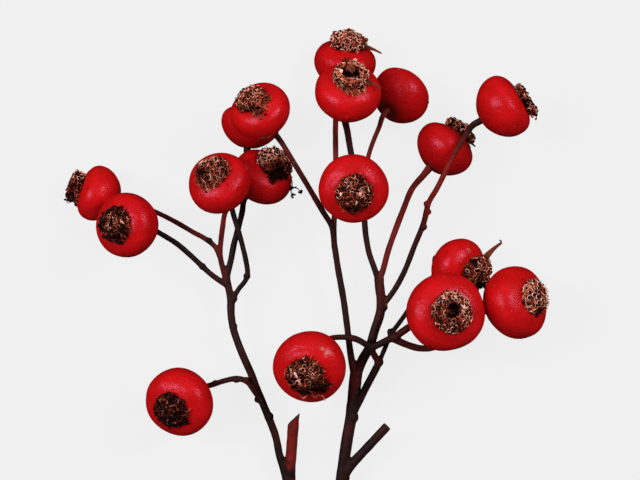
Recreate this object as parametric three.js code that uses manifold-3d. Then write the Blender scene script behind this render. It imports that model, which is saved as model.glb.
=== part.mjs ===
// A rose hip sprig, in millimetres. It lies on the plane z = 0, with its tips towards +Y.
import * as THREE from 'three';
import { mergeVertices } from 'three/addons/utils/BufferGeometryUtils.js';
import Module from 'manifold-3d';

const wasm = await Module();
wasm.setup();

// The hips: their largest radius, the centre, the way the calyx end faces on the ground
// (degrees from +X towards +Y), how far that end leans from straight up (degrees), and the radius
// and height of the crown's disc.
const HIPS = [
  { radius: 8.4, centre: [-66.3, 13.8, 7.7], heading: 161, tilt: 79, crown: [4.7, 3.3] },
  { radius: 9.6, centre: [-55.8, 4.3, 22], heading: 178, tilt: 28, crown: [4.8, 2.8] },
  { radius: 8.9, centre: [-20.8, 34, 9.5], heading: 82, tilt: 86, crown: [4.6, 2.8] },
  { radius: 8.95, centre: [-17, 36.8, 26], heading: 124, tilt: 43, crown: [4.6, 3] },
  { radius: 9.25, centre: [-28.8, 16.2, 26], heading: 124, tilt: 33, crown: [4.3, 2.9] },
  { radius: 9.1, centre: [-17.4, 18.3, 13], heading: 49, tilt: 56, crown: [4.8, 4.2] },
  { radius: 9.3, centre: [7.3, 52.5, 8.1], heading: 80, tilt: 62, crown: [5.3, 3.2] },
  { radius: 9.7, centre: [8.1, 42.2, 25], heading: 84, tilt: 43, crown: [4.9, 2.9] },
  { radius: 8.9, centre: [23.6, 42.6, 10.4], heading: 50, tilt: 125, crown: [3.9, 2] },
  { radius: 9.15, centre: [36.9, 26.8, 8.8], heading: 51, tilt: 99, crown: [5, 3.2] },
  { radius: 9.45, centre: [53, 38.5, 21.5], heading: 31, tilt: 79, crown: [4.9, 1.8] },
  { radius: 9.95, centre: [9.6, 14.9, 32], heading: -88, tilt: 15, crown: [5, 3] },
  { radius: 8.8, centre: [40.9, -8, 9.6], heading: -24, tilt: 43, crown: [5.2, 3.4] },
  { radius: 11.6, centre: [36, -20.9, 25.5], heading: 20, tilt: 11, crown: [5.7, 2.9] },
  { radius: 10.75, centre: [56.7, -18.3, 20], heading: 18, tilt: 48, crown: [4.7, 2.6] },
  { radius: 10.9, centre: [-2.8, -36.7, 19], heading: -117, tilt: 24, crown: [5.3, 2.8] },
  { radius: 10.3, centre: [-40.9, -47.4, 16], heading: -141, tilt: 26, crown: [4.8, 2.7] },
];

// Shape of a hip, in shares of its largest radius: two rounded halves on the widest ring
const WIDEST_RING = 0.08;
const BASE_DEPTH = 0.85;
const CALYX_DEPTH = 0.61;
const BASE_ROUNDNESS = 1.9;
const CALYX_ROUNDNESS = 2.6;
const BASE_FLAT = 0.15;
const CALYX_FLAT = 0.5;
const HIP_SIDES = 16;
const HALF_RINGS = 3;

// Crown on the calyx end; the disc, pit and style column are in shares of the disc's radius and
// height, the rest in millimetres
const PIECE_GAP = 0.3;
const CROWN_SIDES = 8;
const DISC_FOOT = 0.88;
const DISC_WIDEST_AT = 0.35;
const PIT_RIM = 0.65;
const PIT_FLOOR = 0.25;
const PIT_DEPTH = 0.45;
const STYLES_RADIUS = 0.13;
const STYLES_STAND = 0.2;
const STAMENS = 22;
const STAMEN_RADIUS = 0.6;
const STAMEN_ROOT = 0.55;
const STAMEN_LIFT = 0.45;
const SHORTEST_STAMEN = 0.9;
const LONGEST_STAMEN = 1.3;
const STAMEN_JITTER = 0.35;
const TOP_STAMEN_RISE = 0.9;
const SIDE_STAMEN_RISE = 0.13;
const SEPAL_SIDES = 4;
const SEPAL_ROOT_RADIUS = 0.8;
const SEPAL_TIP_RADIUS = 0.36;
const SEPAL_STEP = 1.5;
const SEPAL_ROOT_HEIGHT = 1.2;
const SEPAL_ARCH = 0.1;
const SEPAL_BEND = 0.4;
const CROWN_SEED = 1000;

// Crowns that sit a little off their hip's axis, and how far they are moved
const SLIPPED_CROWNS = {
  4: [0.4, -0.8, 0],
  11: [0.8, -1.4, 0],
  13: [1.9, -0.5, 0],
};

// Dried sepals that are left: the hip, the way they point on the ground, their reach from the
// crown's middle and how far the tip rises above the crown's foot
const SEPALS = [
  { hip: 6, heading: -38, reach: 7, rise: 0.4 },
  { hip: 7, heading: -30, reach: 10.5, rise: -0.8 },
  { hip: 8, heading: -28, reach: 9.6, rise: -1.2 },
  { hip: 9, heading: -50, reach: 8, rise: -0.4 },
  { hip: 10, heading: -60, reach: 6.8, rise: 0.2 },
  { hip: 13, heading: 58, reach: 11.4, rise: 3.2 },
];

// Woody stems: radius at the start and at the end, and the route by hand
const STEMS = {
  cane: { radii: [3, 3], route: [[-1, -112, 2.75], [-0.5, -106, 2.8], [-0.5, -99, 3.1]] },
  left_foot: {
    radii: [2.6, 1.9],
    route: [[-0.5, -103, 3.1], [-3.5, -94, 3.3], [-6.5, -85, 3.8], [-9, -76, 4.3]],
  },
  left_cut: {
    radii: [1.75, 1.7],
    route: [[-8.5, -78, 4.2], [-9.1, -71, 4.8], [-8.6, -63.5, 6], [-7.7, -51.5, 8]],
  },
  left: {
    radii: [1.2, 1.15],
    route: [
      [-9, -77, 4.2], [-10.5, -70.5, 5], [-12.2, -64.5, 5.8], [-13.3, -59, 6.3], [-15.5, -53, 6.8],
      [-18.3, -46.2, 7], [-20.6, -40.2, 7.2], [-22.9, -35, 7.4], [-24.8, -30.2, 7.5], [-26, -26.3, 7.6],
      [-26.6, -22.5, 7.7], [-26.7, -18, 7.8], [-27.2, -15, 7.9], [-27.8, -12.5, 8], [-28, -10.5, 8.1],
    ],
  },
  right_foot: {
    radii: [2.6, 2],
    route: [[-0.5, -103, 3.1], [1, -94, 3.5], [4, -84.5, 4], [5.5, -77, 4.5], [7, -71, 5]],
  },
  right_cut: {
    radii: [1.55, 1.35],
    route: [[6.5, -72, 4.9], [9.2, -67.8, 6], [14.4, -61.9, 7.6], [20.3, -55.3, 9.4]],
  },
  right: {
    radii: [1.7, 1.9],
    route: [
      [6, -75, 4.7], [7.4, -65, 5.6], [8.3, -59, 6], [9.2, -54, 6.3], [10, -48, 6.6], [10.5, -43, 6.9],
      [10.9, -39.5, 7],
    ],
  },
  right_upper: {
    radii: [1.45, 1.45],
    route: [
      [10.6, -41.5, 6.9], [12.6, -36.2, 7.2], [14.9, -31.9, 7.4], [16.4, -27, 7.6], [18, -22, 7.8],
      [18.3, -18, 8], [17.9, -14.5, 8.1], [17.6, -11.5, 8.2],
    ],
  },
  middle: {
    radii: [1.05, 0.98],
    route: [
      [10.3, -41.5, 6.9], [9.7, -37.5, 7.2], [9, -33, 7.5], [8.2, -26.5, 7.8], [7.1, -18.2, 8.2],
      [5.3, -8, 8.7], [4.3, -1.5, 9.1],
    ],
  },
  low_right: {
    radii: [1.3, 1.1],
    route: [
      [9.2, -54.7, 6.2], [10.3, -51.2, 7], [12.2, -47.2, 8.1], [14, -43.5, 9.2], [15.8, -40, 10.2],
      [17.3, -37, 11],
    ],
  },
  low_right_bend: {
    radii: [1.1, 1],
    route: [[17.3, -37.4, 10.9], [17, -35.7, 11.6], [15.9, -33.8, 12.4], [15.1, -31.7, 13.1]],
  },
};

// Pedicels: the hip they end at, their radius at the start and at the end, and the route by hand,
// up to the hip's own approach
const PEDICELS = [
  {
    hip: 1,
    radii: [0.85, 0.72],
    route: [
      [-29.8, -5.2, 9.2], [-31.1, -2.3, 9.2], [-34, 0.2, 9], [-38, 2.4, 8.8], [-43, 5.3, 8.4],
      [-49.5, 8.5, 7.9], [-55.5, 10.6, 7.6],
    ],
  },
  {
    hip: 2,
    radii: [0.9, 0.83],
    route: [
      [-27.6, -13.8, 8], [-29.2, -12.7, 8.3], [-32.6, -10.2, 8.8], [-35.1, -7.9, 9.3], [-38.9, -4.3, 10],
      [-42.9, -0.9, 10.8], [-47.9, 2.2, 11.8],
    ],
  },
  {
    hip: 3,
    radii: [0.8, 0.87],
    route: [
      [-26.3, -18, 7.8], [-24.4, -14.8, 8.6], [-22.2, -12, 9.4], [-21.6, -10.2, 9.8], [-22, -6.5, 10.4],
      [-23, -2, 10.9], [-24.5, 3.5, 11.1], [-26, 8.5, 10.8], [-26.8, 13.5, 10.2], [-26.8, 18.5, 9.6],
      [-25.3, 22.6, 9.2],
    ],
  },
  {
    hip: 4,
    radii: [0.95, 0.8],
    route: [
      [4.4, -2.5, 9.1], [3.5, 4, 10.6], [1.2, 7.9, 12.2], [-1.9, 13.1, 15], [-4.9, 18.1, 17.8],
      [-8.5, 24, 19.6], [-11.1, 28.3, 20],
    ],
  },
  {
    hip: 5,
    radii: [0.9, 0.78],
    route: [
      [-28.2, -11.5, 8.2], [-29, -8.7, 8.5], [-29.8, -4.5, 9.3], [-29.5, 0, 10.2], [-28.9, 4, 11.8],
      [-28.1, 8, 14],
    ],
  },
  {
    hip: 6,
    radii: [1, 0.9],
    route: [
      [-28, -12, 8.1], [-27.4, -9, 8], [-26.7, -6.2, 8], [-25.7, -1, 7.8], [-24.5, 3.5, 7.5],
      [-23.3, 8.5, 7.3],
    ],
  },
  {
    hip: 7,
    radii: [0.85, 0.86],
    route: [
      [4.3, -2.5, 9.1], [4.2, 5, 9.6], [4.8, 15, 9.4], [4.7, 24.5, 9], [4.7, 35.5, 7.2], [5.3, 41, 5.2],
    ],
  },
  {
    hip: 8,
    radii: [0.92, 0.95],
    route: [
      [17.5, -12.5, 8.1], [16.3, -8.6, 8.4], [14.7, -4, 8.7], [13.6, 2, 9.1], [13.2, 6.5, 9.7],
      [12.3, 12, 10.2], [10.9, 19, 10.8], [9.3, 25.5, 11.6], [8.1, 32.2, 13.4],
    ],
  },
  {
    hip: 9,
    radii: [0.75, 0.74],
    route: [
      [13.4, 5, 9.5], [13.4, 10.5, 10.3], [13.5, 16.5, 11], [14.3, 24.5, 12], [16, 29.8, 13.2],
      [17.5, 33.4, 14.2],
    ],
  },
  {
    hip: 10,
    radii: [0.95, 0.92],
    route: [
      [17.6, -12.5, 8.1], [18.8, -9.1, 8.4], [20.4, -3.1, 8.8], [22.2, 2.1, 9], [24.8, 8.9, 9.2],
      [27.5, 15.3, 9.5],
    ],
  },
  {
    hip: 11,
    radii: [0.9, 0.84],
    route: [
      [18.3, -20.2, 7.9], [20.3, -17.7, 8.4], [23, -13.6, 9.4], [25.3, -9, 10.6], [28.1, -1.6, 12.4],
      [30.1, 3.4, 13.8], [30.9, 5.9, 14.5], [32, 10.9, 16.2], [34.4, 15.2, 17.7],
      [36.3, 19.1, 18.9], [38.2, 23, 19.8], [40.6, 27.4, 20.2],
    ],
  },
  {
    hip: 12,
    radii: [0.8, 0.8],
    route: [
      [13.4, 5, 9.5], [12.9, 9.5, 11.8], [11.6, 13.2, 16], [10.2, 15.6, 20.6],
    ],
  },
  {
    hip: 13,
    radii: [0.75, 0.83],
    route: [
      [17.5, -37, 11], [18.4, -34.4, 11], [19.4, -32, 11], [21.2, -27.9, 10.8], [23.4, -25, 10.2],
      [25.7, -21.9, 9.2], [28.5, -18.3, 7.8], [32.1, -14.2, 4.2], [34.6, -10.2, 2.2],
    ],
  },
  {
    hip: 14,
    radii: [1.1, 1.15],
    route: [
      [15, -32, 13.1], [17.5, -30.9, 13.5], [19.4, -29.9, 13.9], [22.3, -28.5, 14.1], [24.6, -27, 13.9],
      [26.8, -25.5, 13.7], [30.5, -23.4, 13.3],
    ],
  },
  {
    hip: 15,
    radii: [1.1, 0.9],
    route: [
      [21.8, -29.3, 13.9], [24.5, -30.5, 13.4], [27.1, -31.5, 12.9], [29.5, -32.1, 12.6],
      [33, -32, 12.2], [41, -28.3, 11.4], [46.7, -24.4, 11],
    ],
  },
  {
    hip: 16,
    radii: [1.05, 0.72],
    route: [
      [15.2, -31.9, 13.1], [13.4, -30.8, 13.5], [11.1, -29.5, 13.7], [8.9, -28.9, 13.7],
      [5.9, -28.8, 13.2], [3.2, -29.2, 12.2], [1.4, -30.6, 10.6], [-0.4, -32.8, 8.9],
    ],
  },
  {
    hip: 17,
    radii: [0.95, 0.83],
    route: [
      [-15.4, -53.8, 6.8], [-17.1, -49.2, 7.8], [-19.7, -45, 8.6], [-21.9, -42.2, 8.9],
      [-24.9, -41.4, 9], [-28.6, -42.1, 8.4], [-32.8, -43.5, 7.4],
    ],
  },
];
const PEDICEL_FLARE = 1.35;
const FLARE_SHARPNESS = 12;
const APPROACH_LENGTH = 2.6;

// The slanting cut that ends the left short stem
const SLANT_CUT = { at: [-8, -53.9, 8], facing: [-0.7, 0.7, 0.1], width: 8, depth: 4 };

// Leaf scars, spurs and swollen nodes on the stems
const KNOTS = [
  { at: [-15.3, -53, 6.8], radius: 1.5 },
  { at: [-26, -25.9, 7.6], radius: 1.35 },
  { at: [-25.9, -17.6, 7.8], radius: 1.3 },
  { at: [-35.1, -7.9, 9.3], radius: 1.15 },
  { at: [-21.9, -42, 8.9], radius: 1.2 },
  { at: [-9.6, -72, 4.7], radius: 1.9 },
  { at: [7, -71.5, 5], radius: 2.1 },
  { at: [9.6, -53.2, 6.4], radius: 2.1 },
  { at: [18.7, -20, 7.9], radius: 1.7 },
  { at: [17.7, -12, 8.2], radius: 1.6 },
  { at: [30.6, 3.9, 14], radius: 1.2 },
  { at: [17.6, -36.4, 11], radius: 1.4 },
  { at: [21, -27.4, 10.5], radius: 1.15 },
  { at: [22.2, -28.7, 14], radius: 1.5 },
  { at: [-21.8, -10.8, 9.6], radius: 1.15 },
  { at: [32.1, 8.3, 15], radius: 0.9 },
  { at: [31.3, 10.7, 16], radius: 0.9 },
  { at: [-18.7, -47.8, 7], radius: 1.1 },
  { at: [-25, -41.7, 9], radius: 1.1 },
  { at: [-31.3, -42.8, 7.8], radius: 1 },
  { at: [-33, -0.2, 9.1], radius: 1 },
];

const STEM_STEP = 6.5;
const STEM_SIDES = 6;
const THICK_STEM_SIDES = 8;
const THICK_STEM_RADIUS = 1.7;
const FLOOR_SLAB = 400;
const GOLDEN_ANGLE = Math.PI * (3 - Math.sqrt(5));

// Hips, cones and blocks are made along this axis and then turned
const OWN_AXIS = new THREE.Vector3(0, 1, 0);

const RANDOM_FACTOR = 16807;
const RANDOM_RANGE = 2147483647;

const stemMaterial = new THREE.MeshStandardMaterial({ color: 0x4a2624, roughness: 0.7, metalness: 0 });
const hipMaterial = new THREE.MeshStandardMaterial({ color: 0xc00c18, roughness: 0.35, metalness: 0 });
const crownMaterial = new THREE.MeshStandardMaterial({ color: 0x7a4a2c, roughness: 0.9, metalness: 0 });

// A closed geometry as a solid that can be joined and cut
function solidFrom(geometry) {
  const bare = geometry.clone();
  bare.deleteAttribute('normal');
  bare.deleteAttribute('uv');
  const closed = mergeVertices(bare);
  const mesh = new wasm.Mesh({
    numProp: 3,
    vertProperties: closed.getAttribute('position').array,
    triVerts: Uint32Array.from(closed.getIndex().array),
  });
  return new wasm.Manifold(mesh);
}

// A solid as a geometry that can be shown
function geometryFrom(solid) {
  const mesh = solid.getMesh();
  const geometry = new THREE.BufferGeometry();
  geometry.setAttribute('position', new THREE.BufferAttribute(mesh.vertProperties, 3));
  geometry.setIndex(new THREE.BufferAttribute(mesh.triVerts, 1));
  geometry.computeVertexNormals();
  return geometry;
}

// Random numbers from 0 to 1 that repeat with their seed
function seededRandom(seed) {
  let state = seed;
  return () => {
    state = (state * RANDOM_FACTOR) % RANDOM_RANGE;
    return state / RANDOM_RANGE;
  };
}

// A closed tube along a smooth route; radiusAt takes the share of the length travelled
function tubeAlong(points, radiusAt, sides, step) {
  const curve = new THREE.CatmullRomCurve3(points, false, 'centripetal');
  const steps = Math.max(2, Math.round(curve.getLength() / step));
  const frames = curve.computeFrenetFrames(steps, false);
  const tube = new THREE.CylinderGeometry(1, 1, steps, sides, steps);
  const position = tube.getAttribute('position');
  const spot = new THREE.Vector3();
  for (let i = 0; i < position.count; i += 1) {
    const ring = Math.round(position.getY(i) + steps / 2);
    const share = ring / steps;
    curve.getPointAt(share, spot);
    spot.addScaledVector(frames.normals[ring], position.getX(i) * radiusAt(share));
    spot.addScaledVector(frames.binormals[ring], -position.getZ(i) * radiusAt(share));
    position.setXYZ(i, spot.x, spot.y, spot.z);
  }
  return tube;
}

// Where a hip lies, as the matrix that takes its own axis (+Y) to its place
function hipPlace({ centre, heading, tilt }) {
  const turn = THREE.MathUtils.degToRad(heading);
  const lean = THREE.MathUtils.degToRad(tilt);
  const axis = new THREE.Vector3(
    Math.sin(lean) * Math.cos(turn),
    Math.sin(lean) * Math.sin(turn),
    Math.cos(lean),
  );
  const rotation = new THREE.Quaternion().setFromUnitVectors(OWN_AXIS, axis);
  return { axis, rotation, centre: new THREE.Vector3(...centre) };
}

// Height of the hip's outline at a share of its largest radius, above or below the widest ring
function hipHeight(radius, share, depth, roundness) {
  return radius * depth * (1 - share ** roundness) ** (1 / roundness);
}

function baseHeight(radius) {
  return radius * WIDEST_RING - hipHeight(radius, BASE_FLAT, BASE_DEPTH, BASE_ROUNDNESS);
}

function calyxHeight(radius) {
  return radius * WIDEST_RING + hipHeight(radius, CALYX_FLAT, CALYX_DEPTH, CALYX_ROUNDNESS);
}

// One quarter of the outline, from the edge of the flat to the widest ring
function hipQuarter(radius, flat, depth, roundness, side) {
  const points = [];
  const start = Math.acos(flat ** (roundness / 2));
  for (let i = 0; i <= HALF_RINGS; i += 1) {
    const angle = start * (1 - i / HALF_RINGS);
    const share = Math.cos(angle) ** (2 / roundness);
    const height = radius * WIDEST_RING + side * hipHeight(radius, share, depth, roundness);
    points.push(new THREE.Vector2(radius * share, height));
  }
  return points;
}

function hipSolid(radius) {
  const base = hipQuarter(radius, BASE_FLAT, BASE_DEPTH, BASE_ROUNDNESS, -1);
  const calyx = hipQuarter(radius, CALYX_FLAT, CALYX_DEPTH, CALYX_ROUNDNESS, 1).reverse();
  const outline = [
    new THREE.Vector2(0, baseHeight(radius)),
    ...base,
    ...calyx.slice(1),
    new THREE.Vector2(0, calyxHeight(radius)),
  ];
  return solidFrom(new THREE.LatheGeometry(outline, HIP_SIDES));
}

// What is left of a solid in its own place once the surface it lies on has flattened it
function restOnFloor(solid, place) {
  const slab = new THREE.BoxGeometry(FLOOR_SLAB, FLOOR_SLAB, FLOOR_SLAB);
  slab.translate(0, 0, -FLOOR_SLAB / 2);
  const world = new THREE.Matrix4().compose(place.centre, place.rotation, new THREE.Vector3(1, 1, 1));
  slab.applyMatrix4(world.invert());
  return solid.subtract(solidFrom(slab));
}

// The disc under the stamens, with the pit and the style column in its middle
function crownDisc([spread, height], foot) {
  const top = foot + height;
  const outline = [
    [0, foot],
    [spread * DISC_FOOT, foot],
    [spread, foot + height * DISC_WIDEST_AT],
    [spread * PIT_RIM, top],
    [spread * PIT_FLOOR, top - height * PIT_DEPTH],
    [spread * STYLES_RADIUS, top],
    [0, top + STYLES_STAND],
  ];
  return solidFrom(new THREE.LatheGeometry(outline.map((p) => new THREE.Vector2(...p)), CROWN_SIDES));
}

// Three-sided stamens on a spiral, from round the pit to the crown's foot
function stamenSolids([spread, height], foot, random) {
  const solids = [];
  for (let i = 0; i < STAMENS; i += 1) {
    const rise = THREE.MathUtils.lerp(TOP_STAMEN_RISE, SIDE_STAMEN_RISE, i / (STAMENS - 1));
    const out = Math.sqrt(1 - rise * rise);
    const turn = i * GOLDEN_ANGLE + (random() - 0.5) * STAMEN_JITTER;
    const way = new THREE.Vector3(out * Math.cos(turn), rise, out * Math.sin(turn));
    const onDisc = way.clone().multiply(new THREE.Vector3(spread, height, spread));
    const root = onDisc.clone().multiplyScalar(STAMEN_ROOT);
    const stand = THREE.MathUtils.lerp(SHORTEST_STAMEN, LONGEST_STAMEN, random());
    const tip = onDisc.clone().addScaledVector(way, stand);
    const along = tip.sub(root);
    const stamen = new THREE.ConeGeometry(STAMEN_RADIUS, along.length(), 3);
    stamen.translate(0, along.length() / 2, 0);
    stamen.applyQuaternion(new THREE.Quaternion().setFromUnitVectors(OWN_AXIS, along.normalize()));
    stamen.translate(root.x, foot + root.y + STAMEN_LIFT, root.z);
    solids.push(solidFrom(stamen));
  }
  return solids;
}

// A dried sepal, from inside the disc outwards
function sepalSolid({ heading, reach, rise }, spread, foot, rotation) {
  const angle = THREE.MathUtils.degToRad(heading);
  const out = new THREE.Vector3(Math.cos(angle), Math.sin(angle), 0);
  out.applyQuaternion(rotation.clone().invert());
  out.y = 0;
  out.normalize();
  const start = spread / 2;
  const heights = [
    SEPAL_ROOT_HEIGHT,
    SEPAL_ROOT_HEIGHT + SEPAL_ARCH,
    SEPAL_ROOT_HEIGHT + rise * SEPAL_BEND,
    SEPAL_ROOT_HEIGHT + rise,
  ];
  const points = heights.map((height, i) => {
    const distance = THREE.MathUtils.lerp(start, reach, i / (heights.length - 1));
    return new THREE.Vector3(out.x * distance, foot + height, out.z * distance);
  });
  const radiusAt = (share) => THREE.MathUtils.lerp(SEPAL_ROOT_RADIUS, SEPAL_TIP_RADIUS, share);
  return solidFrom(tubeAlong(points, radiusAt, SEPAL_SIDES, SEPAL_STEP));
}

function crownSolid(number, fruit, rotation) {
  const random = seededRandom(CROWN_SEED + number);
  const foot = calyxHeight(fruit.radius) + PIECE_GAP;
  let crown = crownDisc(fruit.crown, foot);
  for (const stamen of stamenSolids(fruit.crown, foot, random)) crown = crown.add(stamen);
  for (const sepal of SEPALS.filter(({ hip }) => hip === number)) {
    crown = crown.add(sepalSolid(sepal, fruit.crown[0], foot, rotation));
  }
  return crown;
}

// How far a crown is moved off its hip's axis, in the hip's own place
function slipOf(number, rotation) {
  const slip = new THREE.Vector3(...(SLIPPED_CROWNS[number] ?? [0, 0, 0]));
  slip.applyQuaternion(rotation.clone().invert());
  return slip.setY(0);
}

// The block that the slanting cut takes away
function slantBlock() {
  const facing = new THREE.Vector3(...SLANT_CUT.facing).normalize();
  const block = new THREE.BoxGeometry(SLANT_CUT.width, SLANT_CUT.depth, SLANT_CUT.width);
  block.translate(0, SLANT_CUT.depth / 2, 0);
  block.applyQuaternion(new THREE.Quaternion().setFromUnitVectors(OWN_AXIS, facing));
  block.translate(...SLANT_CUT.at);
  return solidFrom(block);
}

// The whole stem: stems, pedicels and knots, joined
function stemSolid() {
  const solids = [];
  for (const { radii, route } of Object.values(STEMS)) {
    const points = route.map((p) => new THREE.Vector3(...p));
    const sides = radii[0] > THICK_STEM_RADIUS ? THICK_STEM_SIDES : STEM_SIDES;
    const radiusAt = (share) => THREE.MathUtils.lerp(radii[0], radii[1], share);
    solids.push(solidFrom(tubeAlong(points, radiusAt, sides, STEM_STEP)));
  }
  for (const { hip, radii, route } of PEDICELS) {
    const fruit = HIPS[hip - 1];
    const { axis, centre } = hipPlace(fruit);
    const end = centre.clone().addScaledVector(axis, baseHeight(fruit.radius) - PIECE_GAP);
    const approach = end.clone().addScaledVector(axis, -APPROACH_LENGTH);
    const points = [...route.map((p) => new THREE.Vector3(...p)), approach, end];
    const flareAt = (share) => 1 + (PEDICEL_FLARE - 1) * share ** FLARE_SHARPNESS;
    const radiusAt = (share) => THREE.MathUtils.lerp(radii[0], radii[1], share) * flareAt(share);
    solids.push(solidFrom(tubeAlong(points, radiusAt, STEM_SIDES, STEM_STEP)));
  }
  for (const { at, radius } of KNOTS) {
    const knot = new THREE.IcosahedronGeometry(radius);
    knot.translate(...at);
    solids.push(solidFrom(knot));
  }
  return solids.reduce((joined, solid) => joined.add(solid)).subtract(slantBlock());
}

const sprig = new THREE.Group();

const lying = { centre: new THREE.Vector3(), rotation: new THREE.Quaternion() };
const stem = new THREE.Mesh(geometryFrom(restOnFloor(stemSolid(), lying)), stemMaterial);
stem.name = 'stem';
sprig.add(stem);

HIPS.forEach((fruit, index) => {
  const number = index + 1;
  const label = String(number).padStart(2, '0');
  const place = hipPlace(fruit);
  const seat = new THREE.Group();
  seat.position.copy(place.centre);
  seat.quaternion.copy(place.rotation);
  const flesh = restOnFloor(hipSolid(fruit.radius), place);
  const hip = new THREE.Mesh(geometryFrom(flesh), hipMaterial);
  hip.name = `hip_${label}`;
  const dried = crownSolid(number, fruit, place.rotation);
  const crown = new THREE.Mesh(geometryFrom(dried), crownMaterial);
  crown.name = `crown_${label}`;
  crown.position.copy(slipOf(number, place.rotation));
  seat.add(hip, crown);
  sprig.add(seat);
});

// The origin is under the middle of the whole sprig
sprig.updateMatrixWorld(true);
const box = new THREE.Box3().setFromObject(sprig, true);
const middle = box.getCenter(new THREE.Vector3());
sprig.position.set(-middle.x, -middle.y, -box.min.z);

export default sprig;
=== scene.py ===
import math
import random
from collections import namedtuple
from contextlib import contextmanager

import bpy
import numpy as np
from mathutils import Matrix, Vector, noise
from mathutils.kdtree import KDTree


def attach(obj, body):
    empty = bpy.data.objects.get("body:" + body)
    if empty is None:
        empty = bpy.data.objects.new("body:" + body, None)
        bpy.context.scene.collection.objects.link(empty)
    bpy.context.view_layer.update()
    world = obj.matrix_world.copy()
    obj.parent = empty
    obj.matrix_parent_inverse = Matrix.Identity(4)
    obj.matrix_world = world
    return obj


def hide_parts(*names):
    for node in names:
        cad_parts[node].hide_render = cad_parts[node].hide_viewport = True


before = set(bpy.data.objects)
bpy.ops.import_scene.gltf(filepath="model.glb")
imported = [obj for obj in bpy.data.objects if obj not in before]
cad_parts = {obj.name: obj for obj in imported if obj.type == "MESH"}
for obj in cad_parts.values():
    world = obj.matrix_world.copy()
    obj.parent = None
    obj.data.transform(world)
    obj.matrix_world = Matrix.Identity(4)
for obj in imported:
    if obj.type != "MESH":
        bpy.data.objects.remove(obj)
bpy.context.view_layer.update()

# ---- Layout: millimetres, as the sprig was laid out before it was centred ----

MM = 0.001
LAYOUT_SHIFT = Vector((4.8509, 24.5297, 0.0))

# Each hip: largest radius, centre, the way the calyx end faces on the ground
# (degrees from +X towards +Y) and how far it leans from straight up (degrees)
HIPS = {
    1: (8.4, (-66.3, 13.8, 7.7), 161, 79),
    2: (9.6, (-55.8, 4.3, 22), 178, 28),
    3: (8.9, (-20.8, 34, 9.5), 82, 86),
    4: (8.95, (-17, 36.8, 26), 124, 43),
    5: (9.25, (-28.8, 16.2, 26), 124, 33),
    6: (9.1, (-17.4, 18.3, 13), 49, 56),
    7: (9.3, (7.3, 52.5, 8.1), 80, 62),
    8: (9.7, (8.1, 42.2, 25), 84, 43),
    9: (8.9, (23.6, 42.6, 10.4), 50, 125),
    10: (9.15, (36.9, 26.8, 8.8), 51, 99),
    11: (9.45, (53, 38.5, 21.5), 31, 79),
    12: (9.95, (9.6, 14.9, 32), -88, 15),
    13: (8.8, (40.9, -8, 9.6), -24, 43),
    14: (11.6, (36, -20.9, 25.5), 20, 11),
    15: (10.75, (56.7, -18.3, 20), 18, 48),
    16: (10.9, (-2.8, -36.7, 19), -117, 24),
    17: (10.3, (-40.9, -47.4, 16), -141, 26),
}

# Shape of a hip, in shares of its largest radius
WIDEST_RING = 0.08
BASE_DEPTH = 0.85
CALYX_DEPTH = 0.61
BASE_ROUNDNESS = 1.9
CALYX_ROUNDNESS = 2.6
BASE_FLAT = 0.15
CALYX_FLAT = 0.5
PIECE_GAP = 0.3

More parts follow.
